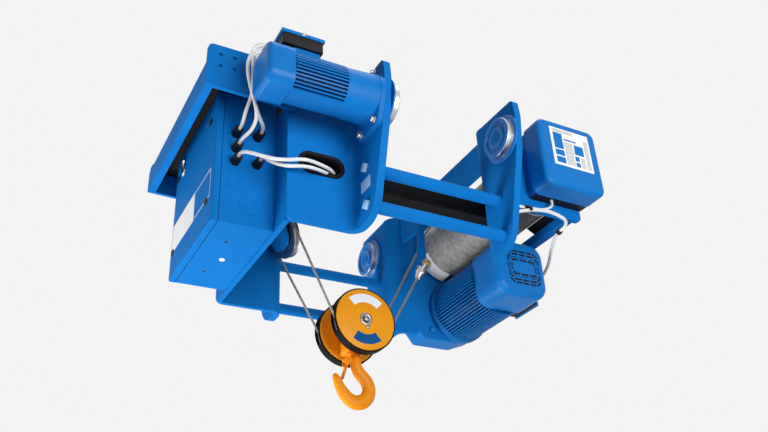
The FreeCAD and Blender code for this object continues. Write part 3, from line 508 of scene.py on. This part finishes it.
# A thin black sheet under the roof: painted shade in the enclosed gap over the cabinet.
roof_shade = bmesh.new()
plain_panel(roof_shade, (-0.6595, -0.2905, roof_under), (-0.408, 0.2905, roof_under), (0, 0, -1), thick=0.0012)
set_on(roof_shade, "roof_painted_shade", rubber_and_shade_black, "trolley_frame")

# Hoist drive: the gear case joins drum and motor at the far end. The finned motor lies under the drum, its
# squared fan cover has rings of slots, and its black terminal box with a blue lid is on the outside. A black
# strip from the tie bar's near end up to the drum is painted shade, for the shaded gap under the drum.

dressed("hoist_gearbox", cast_paint, edge=0.006, steps=4)
# The hoist fins are painted shade all over: their tips darker than the frame's blue, their roots darker still.
hoist_fins = fin_shaded_paint("hoist_fins", across=(1, 0, 1), centre=(0.478, 0, -0.1655), core=0.0985, tips=0.1125,
                          groove_shade=(0.0016, 0.055, 0.18), crest=(0.003, 0.105, 0.34))
dressed("hoist_motor", hoist_fins, edge=0.0)
dressed("hoist_terminal_box", black_moulding_and_shade, edge=0.0015)
dressed("hoist_terminal_lid", cast_paint, edge=0.0012)
dressed("drum_tie_bar", plate_paint, edge=0.002, steps=3)
drum_x, drum_z = 0.436, 0.06
# A black strip that closes the gap between the tie bar and the drum: painted shade.
drum_gap_shade = bmesh.new()
for y0, y1, from_drum in ((-0.2755, -0.24, 0.1145), (-0.24, -0.114, 0.1108)):
    lip_x = drum_x + 0.758 * from_drum
    lip_z = drum_z - 0.652 * from_drum
    outline = ((0.577, -0.0278), (0.549, -0.0278), (lip_x, lip_z), (lip_x + 0.001, lip_z + 0.0015),
               (0.5495, -0.0262), (0.577, -0.0262))
    ends = [[drum_gap_shade.verts.new((x, y, z)) for x, z in outline] for y in (y0, y1)]
    drum_gap_shade.faces.new(ends[0])
    drum_gap_shade.faces.new(ends[1][::-1])
    skinned(drum_gap_shade, ends[::-1])
bmesh.ops.recalc_face_normals(drum_gap_shade, faces=drum_gap_shade.faces)
set_on(drum_gap_shade, "drum_gap_painted_shade", rubber_and_shade_black, "trolley_frame")


def ring_point(half_x, half_z, corner, share):
    """Where a share of the way round a rounded rectangle leads, and the direction out of it there."""
    quarter, part = divmod(share % 1.0 * 4, 1)
    if quarter % 2:
        part = 1 - part
    side = half_z - corner
    bend = corner * math.pi / 2
    run = part * (side + bend + half_x - corner)
    a = min(max((run - side) / corner, 0.0), math.pi / 2)
    x = half_x - corner + corner * math.cos(a) - max(run - side - bend, 0.0)
    z = min(run, side) + corner * math.sin(a)
    flip_x = -1 if quarter in (1, 2) else 1
    flip_z = -1 if quarter > 1 else 1
    return Vector((x * flip_x, 0, z * flip_z)), Vector((math.cos(a) * flip_x, 0, math.sin(a) * flip_z))


fan_x, fan_z = 0.486, -0.166


def grille_slot(bm, ring, start, end, widths, y0, y1):
    """One slot as a closed block through the cover's face: wide where it lies flat, narrow where it stands."""
    steps = 8
    rows = []
    for k in range(steps + 1):
        at, out = ring_point(*ring, start + (end - start) * k / steps)
        half = out * (abs(out.z) * widths[0] + abs(out.x) * widths[1]) / 2
        section = ((-1, y0), (1, y0), (1, y1), (-1, y1))
        rows.append([bm.verts.new(Vector((fan_x, y, fan_z)) + at + half * side) for side, y in section])
    skinned(bm, rows)
    bm.faces.new(rows[0])
    bm.faces.new(rows[-1])


slot_rings = (((0.063, 0.058, 0.026), 16, (0.0072, 0.0032)), ((0.0575, 0.0465, 0.023), 12, (0.0076, 0.003)),
              ((0.052, 0.035, 0.019), 8, (0.003, 0.0018)), ((0.0465, 0.026, 0.015), 8, (0.0072, 0.0042)))
half_share = 0.42
play = 0.0002
slots = bmesh.new()
# Black blocks just under the cover's face, inside the slots: painted shade for the dark inside of the cover.
slot_shade = bmesh.new()
for ring, count, widths in slot_rings:
    inner = (widths[0] - play, widths[1] - play)
    for k in range(count):
        start = (k - half_share) / count
        end = (k + half_share) / count
        grille_slot(slots, ring, start, end, widths, y0=-0.102, y1=-0.13)
        grille_slot(slot_shade, ring, start + play, end - play, inner, y0=-0.1015, y1=-0.1088)
bmesh.ops.recalc_face_normals(slot_shade, faces=slot_shade.faces)
set_on(slot_shade, "fan_slot_painted_shade", black_moulding_and_shade, "trolley_frame")
bmesh.ops.recalc_face_normals(slots, faces=slots.faces)


def laid_out(bm, name):
    """A mesh that is only needed for a cut."""
    spare = bpy.data.objects.new(name, bpy.data.meshes.new(name))
    bm.to_mesh(spare.data)
    bm.free()
    bpy.context.scene.collection.objects.link(spare)
    return spare


cutter = laid_out(slots, "slot_cutter")
blank = laid_out(merged("hoist_fan_cover"), "fan_blank")
cut = blank.modifiers.new("slots", "BOOLEAN")
cut.operation = "DIFFERENCE"
cut.solver = "EXACT"
cut.object = cutter
pierced = bmesh.new()
pierced.from_mesh(blank.evaluated_get(bpy.context.evaluated_depsgraph_get()).to_mesh())
for spare in (cutter, blank):
    bpy.data.objects.remove(spare)
set_on(pierced, "hoist_fan_cover_pierced", moulded_blue, "trolley_frame", ("hoist_fan_cover",),
       sharp=30.0)
bolts = bmesh.new()
hex_bolt(bolts, (0.364, 0.291, -0.25), (0, -1, 0), across=0.02, high=0.011)
set_on(bolts, "gearbox_bolts", cast_paint, "trolley_frame", sharp=25.0)

# Rope drum: a turned steel shell that carries one layer of wire rope, wound turn by turn.
# The white split ring is the rope guide, which rides along with the last turn.

lay_length = 0.056
wire_bands = 6.0


def rope_finish(name, dark, bright, rough):
    """Wire rope: fine slanting wires, grease in the grooves, and painted shade on the turns at the drum's near
    end.
    """
    material, tree, shader = new_finish(name, Metallic=0.25)
    lay = add(tree, "UVMap", uv_map="lay").outputs["UV"]
    lines = add(tree, "TexWave", wave_type="BANDS", bands_direction="DIAGONAL", Vector=lay, Scale=1.0,
                Distortion=0.6, Detail=1.0).outputs["Fac"]
    place = add(tree, "TexCoord").outputs["Object"]
    grime = add(tree, "TexNoise", Vector=place, Scale=55.0, Detail=5.0, Roughness=0.65).outputs["Fac"]
    lift = add(tree, "MapRange", Value=maths(tree, "MULTIPLY", lines, grime), From_Min=0.05, From_Max=0.55)
    tone = mixed(tree, lift.outputs["Result"], (*dark, 1), (*bright, 1))
    along = add(tree, "SeparateXYZ", Vector=place).outputs["Y"]
    # Darker towards the drum's near end: painted shade.
    near_end_shade = add(tree, "MapRange", Value=along, From_Min=-0.16, From_Max=-0.06, To_Min=0.16)
    shaded = add(tree, "VectorMath", operation="SCALE", Vector=tone, Scale=near_end_shade.outputs["Result"])
    feed(tree, shader.inputs["Base Color"], shaded.outputs[0])
    glossed(tree, shader, grime, rough - 0.06, rough + 0.14)
    bumped(tree, shader, lines, strength=0.5, depth=0.0007)
    return material


def laid_rope(bm, points, radius=0.004, sides=24, strands=6):
    """Rope swept along its points: strands are lobes of the section that turn once in each lay length."""
    uv = bm.loops.layers.uv.get("lay") or bm.loops.layers.uv.new("lay")
    rings = []
    run = 0.0
    up = None
    for i, point in enumerate(points):
        ahead = (points[min(i + 1, len(points) - 1)] - points[max(i - 1, 0)]).normalized()
        if i:
            run += (point - points[i - 1]).length
        if up is None:
            up = ahead.orthogonal().normalized()
        up = (up - ahead * up.dot(ahead)).normalized()
        across = ahead.cross(up)
        ring = []
        for k in range(sides):
            a = 2 * math.pi * k / sides
            bulge = radius
            if strands:
                twist = 2 * math.pi * strands * run / lay_length
                bulge = radius * (0.86 + 0.14 * abs(math.cos(0.5 * (strands * a + twist))))
            ring.append(bm.verts.new(point + (up * math.cos(a) + across * math.sin(a)) * bulge))
        rings.append((ring, run))
    for (low, u0), (high, u1) in zip(rings, rings[1:]):
        for k in range(sides):
            j = (k + 1) % sides
            face = bm.faces.new((low[k], low[j], high[j], high[k]))
            for loop, (u, v) in zip(face.loops, ((u0, k), (u0, k + 1), (u1, k + 1), (u1, k))):
                loop[uv].uv = (u / lay_length * wire_bands, v / sides * wire_bands)
    bm.faces.new(list(reversed(rings[0][0])))
    bm.faces.new(rings[-1][0])


drum_steel = bare_steel("drum_steel", (0.2, 0.2, 0.2), (0.38, 0.38, 0.37), scale=120.0, stretch=(1, 6, 1),
                        rough=0.42, depth=0.0003)
turned_steel = bare_steel("turned_steel", (0.36, 0.36, 0.36), (0.6, 0.6, 0.6), scale=300.0, stretch=(4, 0.4, 0.4),
                          rough=0.3, depth=0.0002)
wire_rope = rope_finish("wire_rope", (0.05, 0.048, 0.045), (0.88, 0.87, 0.82), rough=0.4)
dressed("drum_shell", drum_steel, edge=0.001)
dressed("drum_bearing", turned_steel, edge=0.001)
turns = 52
steps = 48
crossing = 6
first_turn = 0.2385
pitch = 0.4765 / turns
wound_radius = 0.1039
coil = []
for i in range(turns * steps):
    turn, step = divmod(i, steps)
    over = max(0.0, (step - (steps - crossing)) / crossing) * (turn < turns - 1)
    a = math.radians(90 - step * 360 / steps + 22.5)
    coil.append(Vector((drum_x + wound_radius * math.cos(a), first_turn - pitch * (turn + 0.5 + over),
                        drum_z + wound_radius * math.sin(a))))
winding = bmesh.new()
laid_rope(winding, coil, radius=0.0041, sides=10, strands=0)
set_on(winding, "wound_rope", wire_rope, "drum", ("rope_winding",), sharp=80.0)
white_guide = coated("white_guide", (0.97, 0.93, 0.86), drift=0.05, matt=0.34, grain=500.0, depth=0.0002)
dressed("rope_guide", white_guide, edge=0.0012)

# Limit switch: a moulded base with a black sole, bolted to the near drum plate, under a blue cover with round
# corners. Its data plate has empty cells and plain rules.

plate_face = -0.404
plate_thick = 0.0006
cell_face = plate_face - plate_thick
rule_gap = 0.0045
rule_high = 0.0012
dressed("limit_switch_base", moulded_blue, edge=0.003, steps=3)
dressed("limit_switch_cover", moulded_blue, edge=0.0, sharp=50.0)
plate = bmesh.new()
plain_panel(plate, (0.427, plate_face, 0.2), (0.586, plate_face, 0.054), (0, -1, 0), plate_thick)
set_on(plate, "data_plate", white_plate, "trolley_frame")
cells = bmesh.new()
for x0, x1, z0, z1 in ((0.438, 0.474, 0.119, 0.18), (0.438, 0.474, 0.092, 0.114), (0.438, 0.474, 0.064, 0.087),
                       (0.48, 0.53, 0.157, 0.163), (0.518, 0.556, 0.111, 0.148), (0.516, 0.533, 0.086, 0.104),
                       (0.516, 0.533, 0.064, 0.08)):
    plain_panel(cells, (x0, cell_face, z1), (x1, cell_face, z0), (0, -1, 0), thick=0.0003)
rules = bmesh.new()
for x0, x1, low, high in ((0.438, 0.52, 0.184, 0.193), (0.479, 0.513, 0.064, 0.152), (0.562, 0.579, 0.064, 0.176),
                          (0.538, 0.557, 0.064, 0.104)):
    for k in range(int((high - low) / rule_gap) + 1):
        z = low + k * rule_gap
        plain_panel(rules, (x0, cell_face, z + rule_high), (x1, cell_face, z), (0, -1, 0), thick=0.0002)
set_on(cells, "data_plate_cells", moulded_blue, "trolley_frame")
set_on(rules, "data_plate_rules", black_moulding_and_shade, "trolley_frame")
sole = bmesh.new()
plain_panel(sole, (0.397, -0.3295, -0.02), (0.604, -0.2925, -0.02), (0, 0, -1), thick=0.0012)
set_on(sole, "limit_switch_sole", black_moulding_and_shade, "trolley_frame")

# Fixed rope end: a lug of steel plate hangs from the side plate and is painted with it. A turned brass pin goes
# through its eye and holds the zinc-plated socket that grips the rope.

turned_brass = bare_steel("turned_brass", (0.45, 0.28, 0.07), (0.78, 0.56, 0.22), scale=300.0,
                          stretch=(0.5, 5, 0.5), rough=0.3, depth=0.0002)
dressed("anchor_lug", plate_paint, edge=0.0015)
dressed("anchor_pin", turned_brass, edge=0.0012)
dressed("rope_socket", zinc_plate, edge=0.001)

# Upper sheave: a turned steel sheave with one rope groove, on a plain axle in a welded and painted fork.
# It leans to face the two falls that it turns, and the rope lies round its upper half.

dressed("return_sheave_bracket", plate_paint, edge=0.0018)
dressed("return_sheave_axle", turned_steel, edge=0.0012)
dressed("return_sheave", turned_steel, edge=0.0008, sharp=24.0)


def arc(centre, start, axis, degrees, count):
    """Points of the rope where it lies round a sheave."""
    points = []
    for k in range(count + 1):
        turn = Matrix.Rotation(math.radians(degrees * k / count), 3, Vector(axis))
        points.append(Vector(centre) + turn @ Vector(start))
    return points


upper_radius = 0.085
lean = math.radians(27.2117)
pull = math.radians(3.4568)
down = Vector((math.sin(lean), 0, -math.cos(lean)))
first = Vector((0, upper_radius * math.cos(pull), 0)) + down * (upper_radius * math.sin(pull))
axle = (math.cos(lean), 0, math.sin(lean))
bend = bmesh.new()
laid_rope(bend, arc((-0.257, 0.182, -0.0375), first, axle, degrees=186.9136, count=110))
set_on(bend, "upper_rope_bend", wire_rope, "trolley_frame", ("return_rope",), sharp=80.0)

# Falls: four lengths of eight-millimetre wire rope between the hoist and the block, six strands laid
# right-handed. On the real hoist they lengthen as the hook is lowered. Each is laid straight from its top to the
# block.

front_y = 0.121
rear_y = 0.243
fall_rope = rope_finish("fall_rope", (0.06, 0.054, 0.048), (0.46, 0.43, 0.39), rough=0.4)
fall_steps = 170
for node, top, low, held in (
        ("fall_return_front", (-0.25466, 0.09716, -0.04206), (-0.08004, front_y, -0.38166), 0.052),
        ("fall_return_rear", (-0.25466, 0.26684, -0.04206), (-0.08004, rear_y, -0.38166), 0.052),
        ("fall_drum", (0.34443, rear_y, 0.10931), (0.07924, rear_y, -0.38317), 0.06),
        ("fall_anchor", (0.21409, front_y, -0.14875), (0.07802, front_y, -0.38537), 0.0)):
    a = Vector(top)
    b = Vector(low)
    fall = bmesh.new()
    laid_rope(fall, [a.lerp(b, k / fall_steps) for k in range(fall_steps + 1)])
    piece = set_on(fall, node + "_laid", fall_rope, None, (node,), sharp=80.0)
    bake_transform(piece)

# Hook block: two grooved sheaves on one pin, each between pressed yellow discs with a black rim guard,
# and a forged crosshead between them. The front disc carries a white and a blue panel, both plain.

block_z = -0.3405
block_radius = 0.09
yellow_gloss = coated("yellow_gloss", (0.74, 0.285, 0.008), drift=0.05, matt=0.24, grain=420.0, depth=0.0003,
                      shine=0.14)
dressed("block_covers", yellow_gloss, edge=0.0016, steps=3)
dressed("block_guards", duct_black, edge=0.0015)
dressed("block_axle", turned_steel, edge=0.0015)
for node in ("block_sheave_front", "block_sheave_rear"):
    dressed(node, turned_steel, edge=0.0008, sharp=24.0)
first = Vector((-block_radius * math.cos(lean), 0, -block_radius * math.sin(lean)))
for name, y, degrees, nodes in (("front", front_y, 122.8864, ("block_rope",)), ("rear", rear_y, 124.4866, ())):
    bend = bmesh.new()
    laid_rope(bend, arc((0, y, block_z), first, (0, -1, 0), degrees, count=80))
    set_on(bend, "block_rope_" + name, wire_rope, "hook_block", nodes, sharp=80.0)
cap_section = [(-0.003, 0.021), (0.0, 0.0215), (0.0012, 0.0205), (0.0012, 0.012), (0.0004, 0.0115), (0.0004, 0)]
grease_plug = [(0, 0.0065), (0.0016, 0.006), (0.0026, 0.004), (0.003, 0)]
caps = bmesh.new()
for y, side in ((0.1, -1), (0.264, 1)):
    turned(caps, (0, y, block_z), (0, side, 0), cap_section, sides=40)
    hex_bolt(caps, (0, y + side * 0.0004, block_z), (0, side, 0), across=0.016, high=0.0055, washer=False)
turned(caps, (0.006, 0.102, -0.366), (0, -1, 0), grease_plug, sides=24)
set_on(caps, "pin_caps", drum_steel, "hook_block", sharp=25.0)


def disc_panel(bm, r0, r1, from_deg, to_deg, count=24):
    """A curved plain panel on the front disc."""
    disc_y = 0.102
    out_y = 0.1014
    rows = []
    for k in range(count + 1):
        a = math.radians(from_deg + (to_deg - from_deg) * k / count)
        section = ((r0, disc_y), (r0, out_y), (r1, out_y), (r1, disc_y))
        rows.append([bm.verts.new((r * math.cos(a), y, block_z + r * math.sin(a))) for r, y in section])
    for low, high in zip(rows, rows[1:]):
        for i in range(3):
            bm.faces.new((low[i], high[i], high[i + 1], low[i + 1]))
    bm.faces.new(rows[0])
    bm.faces.new(list(reversed(rows[-1])))
    bmesh.ops.recalc_face_normals(bm, faces=bm.faces)


panel_blue = coated("panel_blue", (0.003, 0.075, 0.24), drift=0.04, matt=0.34, grain=700.0, depth=0.0001,
                    shine=0.1)
panel = bmesh.new()
disc_panel(panel, r0=0.057, r1=0.086, from_deg=46, to_deg=132)
set_on(panel, "disc_panel_white", white_plate, "hook_block")
panel = bmesh.new()
disc_panel(panel, r0=0.051, r1=0.083, from_deg=236, to_deg=308)
set_on(panel, "disc_panel_blue", panel_blue, "hook_block")

# Hook: drop forged, painted orange-yellow, free to turn under its nut in the crosshead.
# A sprung pressed-steel latch closes its mouth.

hook_orange = coated("hook_orange", (0.76, 0.245, 0.006), drift=0.08, matt=0.3, grain=190.0, depth=0.0003,
                     shine=0.14)
dressed("block_crosshead", hook_orange, edge=0.003, steps=3)
dressed("hook", hook_orange, edge=0.0, sharp=50.0)
dressed("hook_nut", turned_steel, edge=0.001)
dressed("hook_latch", hook_orange, edge=0.0006)

# Cables: round flexible control cables in off-white sheath. Three go up to the travel motor, two into the
# grommet, and one each from the cross plate to the limit switch and to the hoist motor, held by two black clips.

sheath = coated("cable_sheath", (0.7, 0.7, 0.69), drift=0.06, matt=0.4, grain=1200.0, depth=0.0001)


def cable(name, points, radius, stands_for=()):
    """A cable as a smooth curve on its route's points, in millimetres."""
    curve = bpy.data.curves.new(name, "CURVE")
    curve.dimensions = "3D"
    spline = curve.splines.new("NURBS")
    spline.points.add(len(points) - 1)
    for point, (x, y, z) in zip(spline.points, points):
        point.co = (x * millimetre, y * millimetre, z * millimetre, 1.0)
    spline.order_u = 3
    spline.use_endpoint_u = True
    spline.resolution_u = 8
    curve.bevel_depth = radius
    curve.bevel_resolution = 5
    curve.use_fill_caps = True
    curve.materials.append(sheath)
    piece = bpy.data.objects.new(name, curve)
    bpy.context.scene.collection.objects.link(piece)
    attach(piece, "trolley_frame")
    if stands_for:
        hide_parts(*stands_for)


cabinet_lead = 0.0051
limit_lead = 0.0045
motor_lead = 0.0055
cable("upper_cable_first", [
    (-547, -230, 9.5), (-547, -254, 10), (-551, -284, 28), (-546, -308, 58), (-545, -324, 88), (-548, -338, 118),
    (-553, -354, 142), (-558, -376, 154), (-544, -392, 151), (-522, -392, 150)], cabinet_lead, ("upper_cables",))
cable("upper_cable_second", [
    (-546, -230, -38.5), (-546, -254, -38), (-532, -278, -28), (-525, -300, -6), (-531, -318, 18),
    (-544, -330, 42), (-552, -340, 70), (-556, -350, 104), (-562, -362, 138), (-572, -384, 160),
    (-564, -406, 165), (-546, -418, 162), (-522, -420, 162)], cabinet_lead)
cable("upper_cable_third", [
    (-484, -230, 14.5), (-484, -252, 15), (-507, -284, 14), (-527, -308, 26), (-544, -326, 50), (-559, -338, 80),
    (-571, -350, 112), (-576, -360, 138), (-572, -377, 155), (-561, -393, 161), (-544, -405, 160),
    (-522, -406, 158)], cabinet_lead)
cable("duct_cable_outer", [
    (-547, -230, -81.5), (-547, -252, -81.5), (-538, -278, -96), (-507, -304, -116), (-479, -320, -128),
    (-444, -330, -128), (-412, -336, -120), (-385, -335, -116), (-354, -327, -114), (-321, -313, -110),
    (-300, -298, -106), (-288, -282, -101)], cabinet_lead, ("duct_cables",))
cable("duct_cable_inner", [
    (-484, -230, -77.5), (-484, -250, -78), (-479, -278, -106), (-462, -298, -126), (-433, -312, -134),
    (-406, -322, -132), (-383, -326, -131), (-357, -320, -128), (-331, -306, -121), (-312, -292, -114),
    (-302, -280, -108)], cabinet_lead)
cable("limit_cable_lead", [
    (469, -312, -20), (469, -313, -36), (460, -317, -50), (437, -320, -66), (408, -322, -76), (378, -324, -80),
    (347, -328, -86), (321, -329, -88), (303, -325, -86), (291, -312, -85), (288, -291, -84)],
    limit_lead, ("limit_cable",))
cable("motor_cable_lead", [
    (282, -291, -118), (282, -326, -118), (310, -343, -116), (352, -342, -100), (395, -338, -90), (432, -334, -84),
    (472, -328, -84), (516, -314, -86), (528, -290, -95), (521, -262, -100), (533, -226, -105), (556, -180, -112),
    (583, -136, -119), (606, -94, -129), (620, -46, -139), (623, -8, -138), (622, 18, -134), (622, 44, -134)],
    motor_lead, ("motor_cable",))
ties = bmesh.new()
for centre, along, across, long, high, wide in (
        ((0.345, -0.335, -0.0925), (0.95, -0.05, 0.3), (0, 0.75, 0.66), 0.0185, 0.0075, 0.011),
        ((0.524, -0.264, -0.1), (0.15, 0.98, -0.12), (1, 0, 0), 0.0095, 0.0085, 0.013)):
    along = Vector(along).normalized()
    across = (Vector(across) - along * along.dot(Vector(across))).normalized()
    up = along.cross(across)
    rings = []
    for end in (-0.5, 0.5):
        middle = Vector(centre) + along * (wide * end)
        rings.append([ties.verts.new(middle + across * u + up * v) for u, v in oval(long, high, 24)])
    skinned(ties, rings)
    ties.faces.new(rings[0])
    ties.faces.new(rings[1])
bmesh.ops.recalc_face_normals(ties, faces=ties.faces)
set_on(ties, "cable_ties", black_moulding_and_shade, "trolley_frame")

# Studio: a pale floor far below the lowered hook, a near-white room, and broad soft lamps: the strongest in
# front, weaker ones from the left, from below and from above. The eye and the metal see floor and room as pale;
# the object itself gets only the lamps and a weak room light.


def seen_by_eye(tree):
    """One for the rays of the camera, of mirrors and of glass, nought for the light that falls on the object."""
    rays = add(tree, "LightPath").outputs
    straight = maths(tree, "MAXIMUM", rays["Is Camera Ray"], rays["Is Transmission Ray"])
    return maths(tree, "MAXIMUM", straight, rays["Is Glossy Ray"])


def either(tree, share, first, second):
    """Two shaders in one, the second by a share."""
    made = add(tree, "MixShader")
    for socket, value in zip(made.inputs, (share, first.outputs[0], second.outputs[0])):
        feed(tree, socket, value)
    return made.outputs[0]


floor_z = -7.2
floor_half = 300
paper_white = (0.896, 0.896, 0.896, 1)
corners = [(x * floor_half, y * floor_half, floor_z) for x, y in ((-1, -1), (1, -1), (1, 1), (-1, 1))]
floor_mesh = bpy.data.meshes.new("studio_floor")
floor_mesh.from_pydata(corners, [], [(0, 1, 2, 3)])
floor = bpy.data.objects.new("studio_floor", floor_mesh)
bpy.context.scene.collection.objects.link(floor)
floor_paint, tree, shader = new_finish("studio_floor", Roughness=0.8, Base_Color=(0.86, 0.86, 0.86, 1))
share = maths(tree, "MULTIPLY", seen_by_eye(tree), 0.9)
pale = add(tree, "Emission", Color=paper_white, Strength=1.0)
feed(tree, tree.nodes["Material Output"].inputs["Surface"], either(tree, share, shader, pale))
floor_mesh.materials.append(floor_paint)
floor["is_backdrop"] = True

world = bpy.data.worlds.new("studio_room")
bpy.context.scene.world = world
world.use_nodes = True
tree = world.node_tree
tree.nodes.clear()
room = add(tree, "Background", Color=(0.95, 0.97, 1.0, 1), Strength=0.19)
white = add(tree, "Background", Color=paper_white, Strength=1.0)
add(tree, "OutputWorld", Surface=either(tree, seen_by_eye(tree), room, white))


def lamp(name, at, aim, size, power):
    """A round soft lamp, turned to face a point."""
    light = bpy.data.lights.new(name, "AREA")
    light.shape = "DISK"
    light.size = size
    light.energy = power
    made = bpy.data.objects.new(name, light)
    bpy.context.scene.collection.objects.link(made)
    made.location = at
    made.rotation_euler = (Vector(aim) - Vector(at)).to_track_quat("-Z", "Y").to_euler()


lamp("near_lamp", (0.2, -3.2, -0.6), (0, 0, 0), size=2.0, power=98.0)
lamp("left_lamp", (-2.2, -2.4, -1.4), (0, -0.1, -0.05), size=2.0, power=14.0)
lamp("under_lamp", (-1.0, 0.9, -2.0), (-0.2, 0, 0), size=1.6, power=53.0)
lamp("side_lamp", (-2.4, 0.8, -1.2), (-0.2, 0, 0), size=1.6, power=29.0)
lamp("top_lamp", (0.6, -0.6, 3.6), (0, 0, 0), size=3.0, power=45.0)

# Camera: low and near, on the cabinet's side, where the photograph was taken from. Its place and lens were
# worked out from the wheels, plates and bars, with the wheels' height as the zero of that reckoning.

photo_width = 768
focal_pixels = 825.9636
right = Vector((0.88061366, -0.4712843, -0.04909874))
below = Vector((0.19952004, 0.46279426, -0.86372057))
ahead = Vector((0.42978056, 0.75080796, 0.50157361))
eye = -(right * -0.02820867 + below * -0.07173326 + ahead * 2.71921236) + Vector((0, 0, wheel_z))
lens = bpy.data.cameras.new("photo_camera")
lens.sensor_width = 36.0
lens.lens = focal_pixels / photo_width * 36.0
lens.clip_end = 1000.0
camera = bpy.data.objects.new("photo_camera", lens)
bpy.context.scene.collection.objects.link(camera)
camera.matrix_world = Matrix([(right[k], -below[k], -ahead[k], eye[k]) for k in range(3)] + [(0, 0, 0, 1)])
bpy.context.scene.camera = camera
bpy.context.scene.view_settings.view_transform = "Standard"

low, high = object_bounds()
